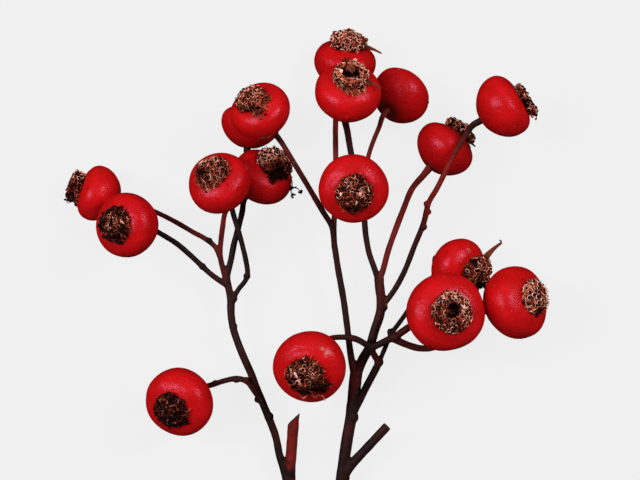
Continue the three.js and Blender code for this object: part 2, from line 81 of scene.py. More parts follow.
# Stems: radius at the start and at the end, redness from start to end, and the route
STEMS = {
    "cane": ((3, 3), (0.05, 0.1), [
        (-1, -112, 2.75), (-0.5, -106, 2.8), (-0.5, -99, 3.1)]),
    "left_foot": ((2.6, 1.9), (0.1, 0.15), [
        (-0.5, -103, 3.1), (-3.5, -94, 3.3), (-6.5, -85, 3.8), (-9, -76, 4.3)]),
    "left_cut": ((1.75, 1.7), (0.6, 0.85, 0.8), [
        (-8.5, -78, 4.2), (-9.1, -71, 4.8), (-8.6, -63.5, 6), (-7.7, -51.5, 8)]),
    "left": ((1.2, 1.15), (0, 0, 0.05, 0.3, 0.3, 0.25, 0.15, 0.1, 0.15, 0.2), [
        (-9, -77, 4.2), (-10.5, -70.5, 5), (-12.2, -64.5, 5.8), (-13.3, -59, 6.3), (-15.5, -53, 6.8),
        (-18.3, -46.2, 7), (-20.6, -40.2, 7.2), (-22.9, -35, 7.4), (-24.8, -30.2, 7.5), (-26, -26.3, 7.6),
        (-26.6, -22.5, 7.7), (-26.7, -18, 7.8), (-27.2, -15, 7.9), (-27.8, -12.5, 8), (-28, -10.5, 8.1)]),
    "right_foot": ((2.6, 2), (0, 0), [
        (-0.5, -103, 3.1), (1, -94, 3.5), (4, -84.5, 4), (5.5, -77, 4.5), (7, -71, 5)]),
    "right_cut": ((1.55, 1.35), (0, 0, 0.1, 0.25), [
        (6.5, -72, 4.9), (9.2, -67.8, 6), (14.4, -61.9, 7.6), (20.3, -55.3, 9.4)]),
    "right": ((1.7, 1.9), (0, 0.05, 0.2, 0.2, 0.4, 0.5), [
        (6, -75, 4.7), (7.4, -65, 5.6), (8.3, -59, 6), (9.2, -54, 6.3), (10, -48, 6.6), (10.5, -43, 6.9),
        (10.9, -39.5, 7)]),
    "right_upper": ((1.45, 1.45), (0.5, 0.25, 0.2, 0.25, 0.45, 0.35, 0.35), [
        (10.6, -41.5, 6.9), (12.6, -36.2, 7.2), (14.9, -31.9, 7.4), (16.4, -27, 7.6), (18, -22, 7.8),
        (18.3, -18, 8), (17.9, -14.5, 8.1), (17.6, -11.5, 8.2)]),
    "middle": ((1.05, 0.98), (0.5, 0.3, 0.2, 0.25, 0.25, 0.3), [
        (10.3, -41.5, 6.9), (9.7, -37.5, 7.2), (9, -33, 7.5), (8.2, -26.5, 7.8), (7.1, -18.2, 8.2),
        (5.3, -8, 8.7), (4.3, -1.5, 9.1)]),
    "low_right": ((1.3, 1.1), (0.15, 0.1, 0, 0, 0.1), [
        (9.2, -54.7, 6.2), (10.3, -51.2, 7), (12.2, -47.2, 8.1), (14, -43.5, 9.2), (15.8, -40, 10.2),
        (17.3, -37, 11)]),
    "low_right_bend": ((1.1, 1), (0.1, 0.5, 0.3, 0.1), [
        (17.3, -37.4, 10.9), (17, -35.7, 11.6), (15.9, -33.8, 12.4), (15.1, -31.7, 13.1)]),
}

# Pedicels, by the hip they end at: radius at the start and at the end, redness from start to end,
# and the route, up to the hip's own approach
PEDICELS = {
    1: ((0.85, 0.72), (0.6, 0.7, 0.55, 0.8, 0.75, 0.75), [
        (-29.8, -5.2, 9.2), (-31.1, -2.3, 9.2), (-34, 0.2, 9), (-38, 2.4, 8.8), (-43, 5.3, 8.4),
        (-49.5, 8.5, 7.9), (-55.5, 10.6, 7.6)]),
    2: ((0.9, 0.83), (0.15, 0.15, 0.1, 0.05, 0.15), [
        (-27.6, -13.8, 8), (-29.2, -12.7, 8.3), (-32.6, -10.2, 8.8), (-35.1, -7.9, 9.3), (-38.9, -4.3, 10),
        (-42.9, -0.9, 10.8), (-47.9, 2.2, 11.8)]),
    3: ((0.8, 0.87), (0.05, 0, 0, 0, 0.05), [
        (-26.3, -18, 7.8), (-24.4, -14.8, 8.6), (-22.2, -12, 9.4), (-21.6, -10.2, 9.8), (-22, -6.5, 10.4),
        (-23, -2, 10.9), (-24.5, 3.5, 11.1), (-26, 8.5, 10.8), (-26.8, 13.5, 10.2), (-26.8, 18.5, 9.6),
        (-25.3, 22.6, 9.2)]),
    4: ((0.95, 0.8), (0.3, 0.15, 0.45, 0.55, 0.35), [
        (4.4, -2.5, 9.1), (3.5, 4, 10.6), (1.2, 7.9, 12.2), (-1.9, 13.1, 15), (-4.9, 18.1, 17.8),
        (-8.5, 24, 19.6), (-11.1, 28.3, 20)]),
    5: ((0.9, 0.78), (0.5, 0.65, 0.8, 0.9, 0.8), [
        (-28.2, -11.5, 8.2), (-29, -8.7, 8.5), (-29.8, -4.5, 9.3), (-29.5, 0, 10.2), (-28.9, 4, 11.8),
        (-28.1, 8, 14)]),
    6: ((1, 0.9), (0.1, 0, 0, 0, 0.1), [
        (-28, -12, 8.1), (-27.4, -9, 8), (-26.7, -6.2, 8), (-25.7, -1, 7.8), (-24.5, 3.5, 7.5),
        (-23.3, 8.5, 7.3)]),
    7: ((0.85, 0.86), (0.4, 0.7, 0.9, 0.8), [
        (4.3, -2.5, 9.1), (4.2, 5, 9.6), (4.8, 15, 9.4), (4.7, 24.5, 9), (4.7, 35.5, 7.2), (5.3, 41, 5.2)]),
    8: ((0.92, 0.95), (0.2, 0.15, 0, 0.2, 0.3), [
        (17.5, -12.5, 8.1), (16.3, -8.6, 8.4), (14.7, -4, 8.7), (13.6, 2, 9.1), (13.2, 6.5, 9.7),
        (12.3, 12, 10.2), (10.9, 19, 10.8), (9.3, 25.5, 11.6), (8.1, 32.2, 13.4)]),
    9: ((0.75, 0.74), (0, 0.4, 0.7, 0.7), [
        (13.4, 5, 9.5), (13.4, 10.5, 10.3), (13.5, 16.5, 11), (14.3, 24.5, 12), (16, 29.8, 13.2),
        (17.5, 33.4, 14.2)]),
    10: ((0.95, 0.92), (0.7, 0.85, 0.95, 1), [
        (17.6, -12.5, 8.1), (18.8, -9.1, 8.4), (20.4, -3.1, 8.8), (22.2, 2.1, 9), (24.8, 8.9, 9.2),
        (27.5, 15.3, 9.5)]),
    11: ((0.9, 0.84), (0.35, 0.2, 0.1, 0.1, 0.35, 0.95, 0.9, 0.8, 0.45, 0.2), [
        (18.3, -20.2, 7.9), (20.3, -17.7, 8.4), (23, -13.6, 9.4), (25.3, -9, 10.6), (28.1, -1.6, 12.4),
        (30.1, 3.4, 13.8), (30.9, 5.9, 14.5), (32, 10.9, 16.2), (34.4, 15.2, 17.7), (36.3, 19.1, 18.9),
        (38.2, 23, 19.8), (40.6, 27.4, 20.2)]),
    12: ((0.8, 0.8), (0.3, 0.4), [
        (13.4, 5, 9.5), (12.9, 9.5, 11.8), (11.6, 13.2, 16), (10.2, 15.6, 20.6)]),
    13: ((0.75, 0.83), (0.1, 0, 0.1, 0.15, 0.15), [
        (17.5, -37, 11), (18.4, -34.4, 11), (19.4, -32, 11), (21.2, -27.9, 10.8), (23.4, -25, 10.2),
        (25.7, -21.9, 9.2), (28.5, -18.3, 7.8), (32.1, -14.2, 4.2), (34.6, -10.2, 2.2)]),
    14: ((1.1, 1.15), (0.1, 0.35, 0.4, 0.25, 0.2), [
        (15, -32, 13.1), (17.5, -30.9, 13.5), (19.4, -29.9, 13.9), (22.3, -28.5, 14.1), (24.6, -27, 13.9),
        (26.8, -25.5, 13.7), (30.5, -23.4, 13.3)]),
    15: ((1.1, 0.9), (0.35, 0.5, 0.3, 0.2, 0.1), [
        (21.8, -29.3, 13.9), (24.5, -30.5, 13.4), (27.1, -31.5, 12.9), (29.5, -32.1, 12.6), (33, -32, 12.2),
        (41, -28.3, 11.4), (46.7, -24.4, 11)]),
    # Pedicel 16's redness rises near its hip to stand partly for a pinkish sheen there: painted sheen.
    16: ((1.05, 0.72), (0.1, 0.1, 0.25, 0.7, 0.7, 0.5), [
        (15.2, -31.9, 13.1), (13.4, -30.8, 13.5), (11.1, -29.5, 13.7), (8.9, -28.9, 13.7),
        (5.9, -28.8, 13.2), (3.2, -29.2, 12.2), (1.4, -30.6, 10.6), (-0.4, -32.8, 8.9)]),
    17: ((0.95, 0.83), (0.2, 0.2, 0.25, 0.3, 0.3), [
        (-15.4, -53.8, 6.8), (-17.1, -49.2, 7.8), (-19.7, -45, 8.6), (-21.9, -42.2, 8.9), (-24.9, -41.4, 9),
        (-28.6, -42.1, 8.4), (-32.8, -43.5, 7.4)]),
}
PEDICEL_FLARE = 1.35
FLARE_SHARPNESS = 12
APPROACH_LENGTH = 2.6

# Leaf scars, spurs and swollen nodes: place and radius
KNOTS = [
    ((-15.3, -53, 6.8), 1.5), ((-26, -25.9, 7.6), 1.35), ((-25.9, -17.6, 7.8), 1.3),
    ((-35.1, -7.9, 9.3), 1.15), ((-21.9, -42, 8.9), 1.2), ((-9.6, -72, 4.7), 1.9), ((7, -71.5, 5), 2.1),
    ((9.6, -53.2, 6.4), 2.1), ((18.7, -20, 7.9), 1.7), ((17.7, -12, 8.2), 1.6), ((30.6, 3.9, 14), 1.2),
    ((17.6, -36.4, 11), 1.4), ((21, -27.4, 10.5), 1.15), ((22.2, -28.7, 14), 1.5),
    ((-21.8, -10.8, 9.6), 1.15), ((32.1, 8.3, 15), 0.9), ((31.3, 10.7, 16), 0.9), ((-18.7, -47.8, 7), 1.1),
    ((-25, -41.7, 9), 1.1), ((-31.3, -42.8, 7.8), 1.0), ((-33, -0.2, 9.1), 1.0),
]

# Old leaf scars (pale, above 0) and bud rings (dark, below 0): place, radius and how strong
SCARS = [
    ((11.4, -54.4, 7), 1.0, 0.8),
    ((20, -19.5, 8.4), 1.0, 0.8),
    ((-9, -70.2, 5.4), 2.2, -0.9),
    ((-9.2, -66.6, 6.4), 0.9, -0.8),
    ((-33, -0.2, 9.4), 1.5, -0.8),
    ((-15.3, -53, 7), 1.8, -0.6),
    ((7.2, -71.3, 6), 2.4, -0.6),
]

# The cuts: a point on each and the way it faces
CUTS = {
    "cane": ((-1, -111.6, 2.75), (0.05, -1, 0)),
    "left": ((-8, -53.9, 8), (-0.7, 0.7, 0.1)),
    "right": ((20.2, -55.9, 9.3), (0.68, 0.7, 0.2)),
}

# Dried sepals: hip, the way they point on the ground, reach from the crown's middle, rise of the
# tip and half width at the root
SEPALS = [
    (6, -38, 7, 0.4, 0.7),
    (7, -30, 10.5, -0.8, 1.1),
    (8, -28, 9.6, -1.2, 1.0),
    (9, -50, 8, -0.4, 0.7),
    (10, -60, 6.8, 0.2, 0.9),
    (13, 58, 11.4, 3.2, 1.7),
]

# Crowns that sit a little off their hip's axis, and how far
SLIPPED_CROWNS = {4: (0.4, -0.8, 0), 11: (0.8, -1.4, 0), 13: (1.9, -0.5, 0)}

# How deep a red each hip is, from 0 to 1, where it isn't bright
DEEP_HIPS = {2: 0.3, 5: 0.3, 6: 0.4, 9: 0.4, 10: 0.5, 3: 0.3, 7: 0.3}

# Dry scabs and worn spots on the skins: hip, place as seen from above, and radius
SCABS = [
    (16, (2.1, -32.6), 0.9),
    (16, (0.6, -31.3), 0.6),
    (13, (43.9, -3), 0.45),
    (13, (42, -4.4), 0.45),
    (15, (64.5, -34.2), 0.7),
    (2, (-51, 15.4), 0.5),
]

# Creases that run up and down a hip: how far to the right they lie, half width and depth
CREASES = {7: (5.05, 0.8, 0.45)}

# Threads that hang clear of a crown: hip, tone, start, pull and end
STRAYS = [
    (6, 0.04, (-9.2, 21, 15.5), (-8, 17.5, 14.6), (-8.2, 15.3, 14.2)),
    (6, 0.04, (-8.2, 15.3, 14.2), (-7.4, 16.2, 14.3), (-5.9, 14.5, 14)),
    (6, 0.04, (-8.2, 15.3, 14.2), (-8.9, 14.6, 14), (-8.3, 13.3, 14)),
    (13, 0.3, (53.1, -1.2, 14.9), (54, 0, 15.3), (52.9, -0.1, 15.3)),
    (16, 1.0, (-6.1, -43.9, 24.6), (-5.6, -46, 23.4), (-4.7, -45.9, 23.3)),
    (16, 1.0, (-4.7, -45.9, 23.3), (-3.9, -45.4, 24), (-3.5, -44.6, 24.4)),
    (16, 1.0, (-2.4, -44.3, 24.8), (-1.9, -45.9, 23.7), (-1.2, -45.6, 23.9)),
    (16, 1.0, (-1.2, -45.6, 23.9), (0, -44.4, 24.9), (0.7, -45.3, 24.2)),
    (16, 1.0, (0.7, -45.3, 24.2), (1.1, -45.4, 23.9), (1.4, -46.7, 22.4)),
]

# Look of each dried crown: radius and height of its mound, share of the radius taken by the pit,
# how much its rim flares (0 to 1), how far out from the pit it is bare (0 to 1), how pale it is
# (0 black, 1 cream), how many threads and dark pollen sacs are matted over it, radius of the knot
# of styles and how far it stands over the rim, the way threads are combed over the bare part, and
# how far its stubs are worn down into a pale ground (0 to 1)
CrownLook = namedtuple(
    "CrownLook", "spread height pit flare bare tone threads sacs knot rise combed fused",
    defaults=(0.6, 0.0, None, 0.0),
)
CROWNS = {
    1: CrownLook(4.7, 3.3, 0.15, 0.8, 0.25, 0.6, 170, 20),
    2: CrownLook(4.8, 2.8, 0.12, 0.0, 0.3, 0.5, 130, 90),
    3: CrownLook(4.6, 2.8, 0.15, 0.3, 0.8, 0.5, 20, 8),
    4: CrownLook(4.6, 3.0, 0.14, 0.3, 0.95, 0.68, 16, 6, 0.6, 0.0, -35, 0.4),
    5: CrownLook(4.3, 2.9, 0.14, 0.0, 0.2, 0.58, 360, 26),
    6: CrownLook(4.8, 4.2, 0.15, 0.0, 0.8, 0.92, 60, 50),
    7: CrownLook(5.3, 3.4, 0.16, 0.35, 0.95, 0.76, 4, 2, 0.8, 0.9, None, 0.7),
    8: CrownLook(4.9, 2.9, 0.6, 0.4, 0.85, 1.0, 0, 4, 1.25, 1.7, None, 0.5),
    9: CrownLook(3.9, 2.0, 0.15, 0.0, 0.6, 0.4, 40, 10),
    10: CrownLook(5.0, 3.2, 0.14, 0.9, 0.8, 0.72, 10, 4),
    11: CrownLook(4.9, 1.8, 0.16, 0.9, 0.7, 0.56, 50, 8),
    12: CrownLook(5.0, 3.0, 0.14, 0.0, 0.7, 0.55, 150, 40, 0.6, 0.0, -80),
    13: CrownLook(5.2, 3.4, 0.14, 0.2, 0.9, 0.61, 16, 8, 0.6, 0.0, 165),
    14: CrownLook(5.7, 2.9, 0.4, 0.3, 0.95, 0.92, 24, 16, 0.9, -1.2),
    15: CrownLook(4.7, 2.6, 0.16, 0.3, 1.0, 0.94, 40, 8, 0.6, 0.0, None, 0.3),
    16: CrownLook(5.3, 2.8, 0.16, 0.0, 0.8, 0.58, 120, 90, 0.6, 0.0, -70),
    17: CrownLook(4.8, 2.7, 0.12, 0.0, 0.1, 0.3, 180, 200),
}

# Tufts that lie out over the skin, by crown: the way they point, half their width in degrees,
# reach in shares of the crown's radius, how many threads and dark sacs, and the threads' tone
TUFTS = {
    1: [(-80, 25, 1.25, 30, 16, 0.25)],
    2: [(-70, 30, 1.3, 40, 10, 0.45)],
    4: [(-60, 28, 1.6, 40, 6, 0.5), (-15, 30, 1.35, 40, 0, 0.5)],
    5: [(-95, 28, 1.45, 40, 6, 0.5), (95, 12, 1.2, 6, 6, 0.3)],
    6: [(-100, 60, 1.25, 60, 40, 0.08), (-112, 16, 1.75, 30, 36, 0.05), (70, 45, 1.25, 14, 0, 0.95)],
    8: [(-85, 60, 1.42, 150, 0, 0.62)],
    13: [(-90, 25, 1.3, 30, 18, 0.12)],
    14: [(-60, 100, 1.12, 50, 0, 0.35)],
    15: [(-100, 25, 1.3, 30, 8, 0.4), (15, 35, 1.45, 16, 3, 0.95)],
    16: [(-30, 22, 1.6, 50, 40, 0.15)],
    17: [(-45, 22, 1.5, 50, 50, 0.15)],
}

# Paler and darker spots of a crown, as seen from above: millimetres to the right and towards the
# tips from its middle, radius, and change of tone. The dark spots that lie about 3.5 mm or more away
# from the tips, on the side away from the lights, and the dark spot over the pit of crown 14, are
# painted shade; the rest are the crown's own paler and darker patches
SPOTS_AND_SHADE = {
    1: [(-1, -4.5, 2.6, -0.8), (1.5, 0, 1.6, -0.4)],
    2: [(0, -3.5, 3, -0.3), (3.6, 1, 0.9, 0.3), (-3.9, 0.8, 0.7, 0.3)],
    4: [(0, -4, 3, -0.3), (-1.5, 2, 3, 0.1)],
    5: [(-2.3, 2, 1.2, 0.3), (-2.4, -0.7, 1.6, -0.8)],
    6: [(-0.8, 3.6, 2.8, 0.55), (-0.5, -4.5, 3.6, -1), (2.4, 1.7, 1.6, 0.3)],
    8: [(0, -4.8, 2, -0.3), (-1.7, 3.9, 1.3, -0.4), (2.4, -1.6, 1, 0.2)],
    12: [(0, -5, 3.4, -0.65), (-3.9, 0.5, 0.8, 0.3), (1.4, 0.3, 0.9, 0.3), (0.4, -2.1, 0.9, 0.3)],
    13: [(-3, 1, 2.5, -0.2), (0, -4.8, 2.2, -1), (1.8, -1.2, 0.8, 0.3)],
    14: [(0.3, 1.3, 2, -1), (2, -5.5, 2.4, -0.6), (-5, -0.5, 2.6, -0.35), (-3, -4, 2.6, -0.35),
        (3.3, 1.5, 1.3, 0.3), (0.4, 4, 1.6, 0.2), (5.5, 0, 1.6, -0.4)],
    15: [(0, -4.5, 1.6, -0.9), (3.5, 1.5, 1.6, 0.3), (-1, 1, 1.5, -0.2), (-3.5, 0, 1.5, -0.3)],
    16: [(-2.5, 1.7, 0.9, 0.4), (4, -3.4, 3, -0.7), (-2, -4, 2.6, -0.6), (-4.6, 0, 1.4, -0.5)],
    17: [(0, -1, 5, -0.15)],
}

# Scraps that stand out on a crown, as seen from above: millimetres to the right and towards the
# tips from its middle, length, tone and warmth
SCRAPS = {
    2: [(-2.2, 1.5, 1.4, 0.06, 0), (-3.6, -0.7, 1.2, 0.07, 0), (2.1, 2.5, 1.4, 0.06, 0),
        (2.9, -1.4, 1.7, 0.07, 0), (2.4, -3.6, 1.2, 0.05, 0), (-0.3, -3.6, 1.3, 0.05, 0),
        (-0.9, 3.7, 1.2, 0.05, 0), (0.4, -2.2, 1.2, 0.04, 0), (3.6, 0.6, 0.9, 0.75, 0.6),
        (1.2, 0.3, 0.6, 0.7, 0.7), (-1.3, -0.4, 0.6, 0.8, 0.3)],
    5: [(-2.5, 2, 1.1, 0.9, 0.3), (-1.2, 2.2, 0.7, 0.8, 0.5), (-3, -0.4, 1.1, 0.02, 0),
        (-1.4, -0.9, 1, 0.02, 0)],
    6: [(-1.8, 3.8, 1.3, 1, 0), (-0.4, 3.3, 1, 0.95, 0.1), (0.5, 3.8, 1, 0.9, 0.2),
        (2.4, 0.5, 1.1, 0.95, 0.1), (1.4, 2, 1.2, 0.62, 1), (-1.7, 1.3, 0.9, 0.85, 0.3),
        (0.4, 1.2, 0.8, 0.7, 0.8)],
    7: [(-0.8, 1.9, 1, 0.1, 0), (0, 3.6, 1, 0.45, 0.8), (-0.7, 3.4, 0.8, 0.4, 0.8),
        (0.8, 3.3, 0.8, 0.5, 0.5)],
    8: [(-2.9, 0, 1.1, 1, 0), (-1.5, 3.4, 1.3, 0.34, 0.9), (-0.6, 3.9, 0.9, 0.3, 0.8),
        (-2.3, 3, 0.9, 0.3, 0.8), (-2.9, 1.2, 0.9, 0.5, 1), (1.4, 3.8, 0.8, 0.95, 0.1),
        (2.6, -1.4, 0.7, 0.55, 1)],
    12: [(-3.9, 0.5, 0.9, 0.85, 0.4), (1.6, 0.5, 0.9, 0.9, 0.3), (0.4, -2.1, 0.9, 0.85, 0.3),
        (-1, 0.4, 0.7, 0.6, 1)],
    13: [(2.6, -1.2, 1, 0.75, 0.5), (1.2, -3.4, 1.2, 0.03, 0), (0.4, -2.4, 1, 0.04, 0)],
    14: [(3.1, 1.3, 1.3, 0.98, 0), (3, 0.2, 0.9, 0.9, 0.2), (0.4, 3.7, 0.9, 0.98, 0),
        (-2.7, 3.9, 0.9, 0.9, 0.2), (-1.5, 0, 0.9, 0.66, 0.9), (1.4, -1.4, 1, 0.7, 0.9),
        (-4, 1, 0.9, 0.05, 0), (1.8, 3.2, 0.8, 0.9, 0.3)],
    15: [(3.3, 2.2, 0.9, 1, 0), (2.9, 1.2, 0.9, 1, 0), (-2.2, 3.6, 0.8, 0.95, 0), (0.3, 0.4, 0.8, 0.55, 1)],
    16: [(-2.5, 1.6, 1.1, 1, 0), (-1.7, -0.3, 1.1, 1, 0), (-1, -1, 0.8, 0.9, 0.3),
        (0.4, -1.8, 0.9, 0.7, 0.9), (-3.4, 0.3, 1, 0.03, 0), (-0.6, 1, 1, 0.02, 0),
        (3.6, -2.4, 1.1, 0.03, 0)],
    17: [(-2.2, 4, 0.9, 0.5, 1), (-0.8, 3.7, 0.9, 0.45, 1), (0.7, 0.7, 0.8, 0.45, 1),
        (3.1, 1.2, 0.7, 0.5, 0.9), (0, -2.2, 0.5, 0.8, 0.1), (-2.6, 0.4, 1.3, 0.05, 0),
        (1.6, -1.4, 1.3, 0.07, 0), (-0.8, 1.8, 1.1, 0.07, 0)],
}


def in_frame(point):
    """A layout point in millimetres as a place in the frame, in metres."""
    return (Vector(point) + LAYOUT_SHIFT) * MM


# ---- Small helpers for modelling ----

MERGE_DISTANCE = 1e-5


def deselect_all():
    bpy.ops.object.select_all(action="DESELECT")


def make_active(piece):
    deselect_all()
    piece.select_set(True)
    bpy.context.view_layer.objects.active = piece


def add_object(name, data):
    added = bpy.data.objects.new(name, data)
    bpy.context.collection.objects.link(added)
    return added


def new_piece(name, points, faces, edges=()):
    mesh = bpy.data.meshes.new(name)
    mesh.from_pydata(points, edges, faces)
    mesh.update()
    return add_object(name, mesh)


@contextmanager
def editing(piece):
    """Edit mode, with the whole of one piece's mesh selected."""
    make_active(piece)
    bpy.ops.object.mode_set(mode="EDIT")
    bpy.ops.mesh.select_all(action="SELECT")
    yield
    bpy.ops.object.mode_set(mode="OBJECT")


def clean_mesh(piece):
    """Merges doubled points and turns every face outwards."""
    with editing(piece):
        bpy.ops.mesh.remove_doubles(threshold=MERGE_DISTANCE)
        bpy.ops.mesh.normals_make_consistent(inside=False)


def apply_modifiers(piece):
    make_active(piece)
    for modifier in list(piece.modifiers):
        bpy.ops.object.modifier_apply(modifier=modifier.name)


def points_of(piece):
    """The mesh's points as rows of x, y, z."""
    mesh = piece.data
    flat = np.empty(len(mesh.vertices) * 3)
    mesh.vertices.foreach_get("co", flat)
    return flat.reshape(-1, 3)


def set_points(piece, points):
    piece.data.vertices.foreach_set("co", np.asarray(points, dtype=float).ravel())
    piece.data.update()


def store(piece, name, values):
    """Keeps one number or one vector for each point, for the materials to read."""
    values = np.asarray(values, dtype=np.float32)
    kind, field = ("FLOAT", "value") if values.ndim == 1 else ("FLOAT_VECTOR", "vector")
    piece.data.attributes.new(name, kind, "POINT").data.foreach_set(field, values.ravel())


def lathe(name, outline, sides):
    """Spins an outline of (radius, height) pairs once round Z into a closed piece."""
    rows = [(radius, 0.0, height) for radius, height in outline]
    piece = new_piece(name, rows, [], [(i, i + 1) for i in range(len(rows) - 1)])
    with editing(piece):
        bpy.ops.mesh.spin(steps=sides, angle=2 * math.pi, center=(0, 0, 0), axis=(0, 0, 1))
    clean_mesh(piece)
    return piece


def unit(vectors):
    return vectors / np.maximum(np.linalg.norm(vectors, axis=-1, keepdims=True), 1e-12)


# ---- Hips ----

HIP_SIDES = 80
HIP_RINGS = 15
DIMPLE_DEPTH = 0.05
LUMP_DEPTH = 0.022
LUMP_SIZE = 1.1
# Above this height past the widest ring the calyx end has no lumps
EVEN_END = 0.5


def hip_height(share, depth, roundness):
    return depth * (1 - share ** roundness) ** (1 / roundness)


def base_height(radius):
    return radius * (WIDEST_RING - hip_height(BASE_FLAT, BASE_DEPTH, BASE_ROUNDNESS))


def calyx_height(radius):
    return radius * (WIDEST_RING + hip_height(CALYX_FLAT, CALYX_DEPTH, CALYX_ROUNDNESS))


def skin_height(share):
    """Height of the calyx side over the middle, at a share of the largest radius."""
    share = np.clip(share, CALYX_FLAT, 1.0)
    return WIDEST_RING + hip_height(share, CALYX_DEPTH, CALYX_ROUNDNESS)


def half_outline(depth, roundness):
    """From the axis to the widest ring: (share of the largest radius, height past that ring)."""
    half = []
    for i in range(HIP_RINGS + 1):
        share = max(math.cos(math.pi / 2 * (1 - i / HIP_RINGS)), 0.0) ** (2 / roundness)
        half.append((share, hip_height(share, depth, roundness)))
    return half


def hip_outline():
    """Outline of a hip of radius 1, from the dimple at the stalk to the calyx end."""
    outline = []
    level = hip_height(CALYX_FLAT, CALYX_DEPTH, CALYX_ROUNDNESS)
    for share, height in half_outline(BASE_DEPTH, BASE_ROUNDNESS):
        dimple = DIMPLE_DEPTH * math.exp(-((share / BASE_FLAT) ** 2))
        outline.append((share, WIDEST_RING - height + dimple))
    for share, height in reversed(half_outline(CALYX_DEPTH, CALYX_ROUNDNESS)[:-1]):
        outline.append((share, WIDEST_RING + min(height, level)))
    return outline


def hip_place(number):
    """The matrix that takes a hip's own +Z axis to its place, in metres."""
    radius, centre, heading, tilt = HIPS[number]
    lean, turn = math.radians(tilt), math.radians(heading)
    axis = Vector((math.sin(lean) * math.cos(turn), math.sin(lean) * math.sin(turn), math.cos(lean)))
    rotation = Vector((0, 0, 1)).rotation_difference(axis)
    return Matrix.Translation(in_frame(centre)) @ rotation.to_matrix().to_4x4()


def place_points(points, number):
    """Points in a hip's own millimetres, moved to its place in the frame."""
    place = np.array(hip_place(number))
    return points * MM @ place[:3, :3].T + place[:3, 3]


def slip_of(number):
    """How far a crown is moved off its hip's axis, in metres, square to that axis."""
    slip = Vector(SLIPPED_CROWNS.get(number, (0, 0, 0))) * MM
    axis = hip_place(number).to_3x3() @ Vector((0, 0, 1))
    return np.array(slip - axis * slip.dot(axis))


def make_hip(number, pattern):
    """One fruit, from the pattern of radius 1, with lumps of its own."""
    radius = HIPS[number][0]
    shape = points_of(pattern)
    offset = Vector((number * 7.3, number * 3.1, number * 5.7))
    lumps = [noise.noise(Vector(p) * LUMP_SIZE + offset) for p in shape]
    swell = 1 + LUMP_DEPTH * np.array(lumps) * 2 - LUMP_DEPTH / 2
    swell = np.where(shape[:, 2] > WIDEST_RING + EVEN_END, 1.0, swell)
    hip = add_object(f"fruit_{number:02d}", pattern.data.copy())
    placed = place_points(shape * swell[:, None] * radius, number)
    if number in CREASES:
        side, half_width, depth = CREASES[number]
        offset = (placed[:, 0] / MM - LAYOUT_SHIFT.x - side) / half_width
        placed -= unit(placed - in_frame(HIPS[number][1])) * (depth * MM * np.exp(-(offset ** 2)))[:, None]
    placed[:, 2] = np.maximum(placed[:, 2], 0.0)
    set_points(hip, placed)
    store(hip, "toward_calyx", shape[:, 2])
    worn = np.zeros(len(shape))
    for owner, place, size in SCABS:
        if owner == number:
            offset = placed[:, :2] - in_frame((*place, 0))[:2]
            worn = np.maximum(worn, np.exp(-((np.linalg.norm(offset, axis=1) / (size * MM)) ** 4)))
    store(hip, "worn", worn)
    store(hip, "deepness", np.full(len(shape), DEEP_HIPS.get(number, 0.0)))
    make_active(hip)
    bpy.ops.object.shade_smooth()
    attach(hip, "root")
    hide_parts(f"hip_{number:02d}")
    return hip


# ---- Parts that repeat in a crown, each modelled once at unit size ----

THREAD_RINGS = 5
THREAD_SIDES = 5
STUB_SIDES = 8
BLADE_SIDES = 8
# Insets and rises from the collar's rim over the groove to the top of the button
STUB_STEPS = [(0.11, 0.08), (0.08, -0.25), (0.02, 0.36), (0.16, 0.07)]
BLADE_RINGS = 12


def unit_disc(sides):
    deselect_all()
    bpy.ops.mesh.primitive_circle_add(vertices=sides, radius=1.0, fill_type="NGON")
    return bpy.context.object


def pull_up(rise, across, along):
    """Extrudes what is selected straight up and narrows its end, both ways."""
    bpy.ops.mesh.extrude_region_move(TRANSFORM_OT_translate={"value": (0, 0, rise)})
    bpy.ops.transform.resize(value=(across, along, 1))


def model_thread():
    """A tapering stalk of length 1 and radius 1, pulled up ring by ring."""
    thread = unit_disc(THREAD_SIDES)
    with editing(thread):
        for _ in range(THREAD_RINGS):
            pull_up(1 / THREAD_RINGS, 0.92, 0.92)
    clean_mesh(thread)
    return thread


def model_stub():
    """What is left of a stamen: a pale collar of foot radius 1 and a dark button that stands in it."""
    stub = unit_disc(STUB_SIDES)
    with editing(stub):
        pull_up(0.6, 0.84, 0.84)
        for inset, rise in STUB_STEPS:
            bpy.ops.mesh.inset(thickness=inset)
            bpy.ops.transform.translate(value=(0, 0, rise))
    clean_mesh(stub)
    return stub


def model_sac():
    """A shrivelled pollen sac: a long bean, pinched on one side."""
    deselect_all()
    bpy.ops.mesh.primitive_ico_sphere_add(subdivisions=2, radius=1.0)
    sac = bpy.context.object
    with editing(sac):
        bpy.ops.transform.resize(value=(0.62, 0.45, 1))
    shape = points_of(sac)
    shape[:, 1] *= 1 - 0.5 * np.exp(-((shape[:, 0] / 0.2) ** 2))
    set_points(sac, shape)
    return sac


def model_blade():
    """A flat sepal of length 1 and half width 1, narrowing to its tip."""
    blade = unit_disc(BLADE_SIDES)
    with editing(blade):
        bpy.ops.transform.resize(value=(1, 0.34, 1))
        for _ in range(BLADE_RINGS):
            pull_up(1 / BLADE_RINGS, 0.88, 0.95)
    clean_mesh(blade)
    return blade


class Pattern:
    """A small modelled part, read once so that it can be copied many times."""

    def __init__(self, piece):
        self.points = points_of(piece)
        self.faces = [tuple(face.vertices) for face in piece.data.polygons]
        bpy.data.objects.remove(piece)


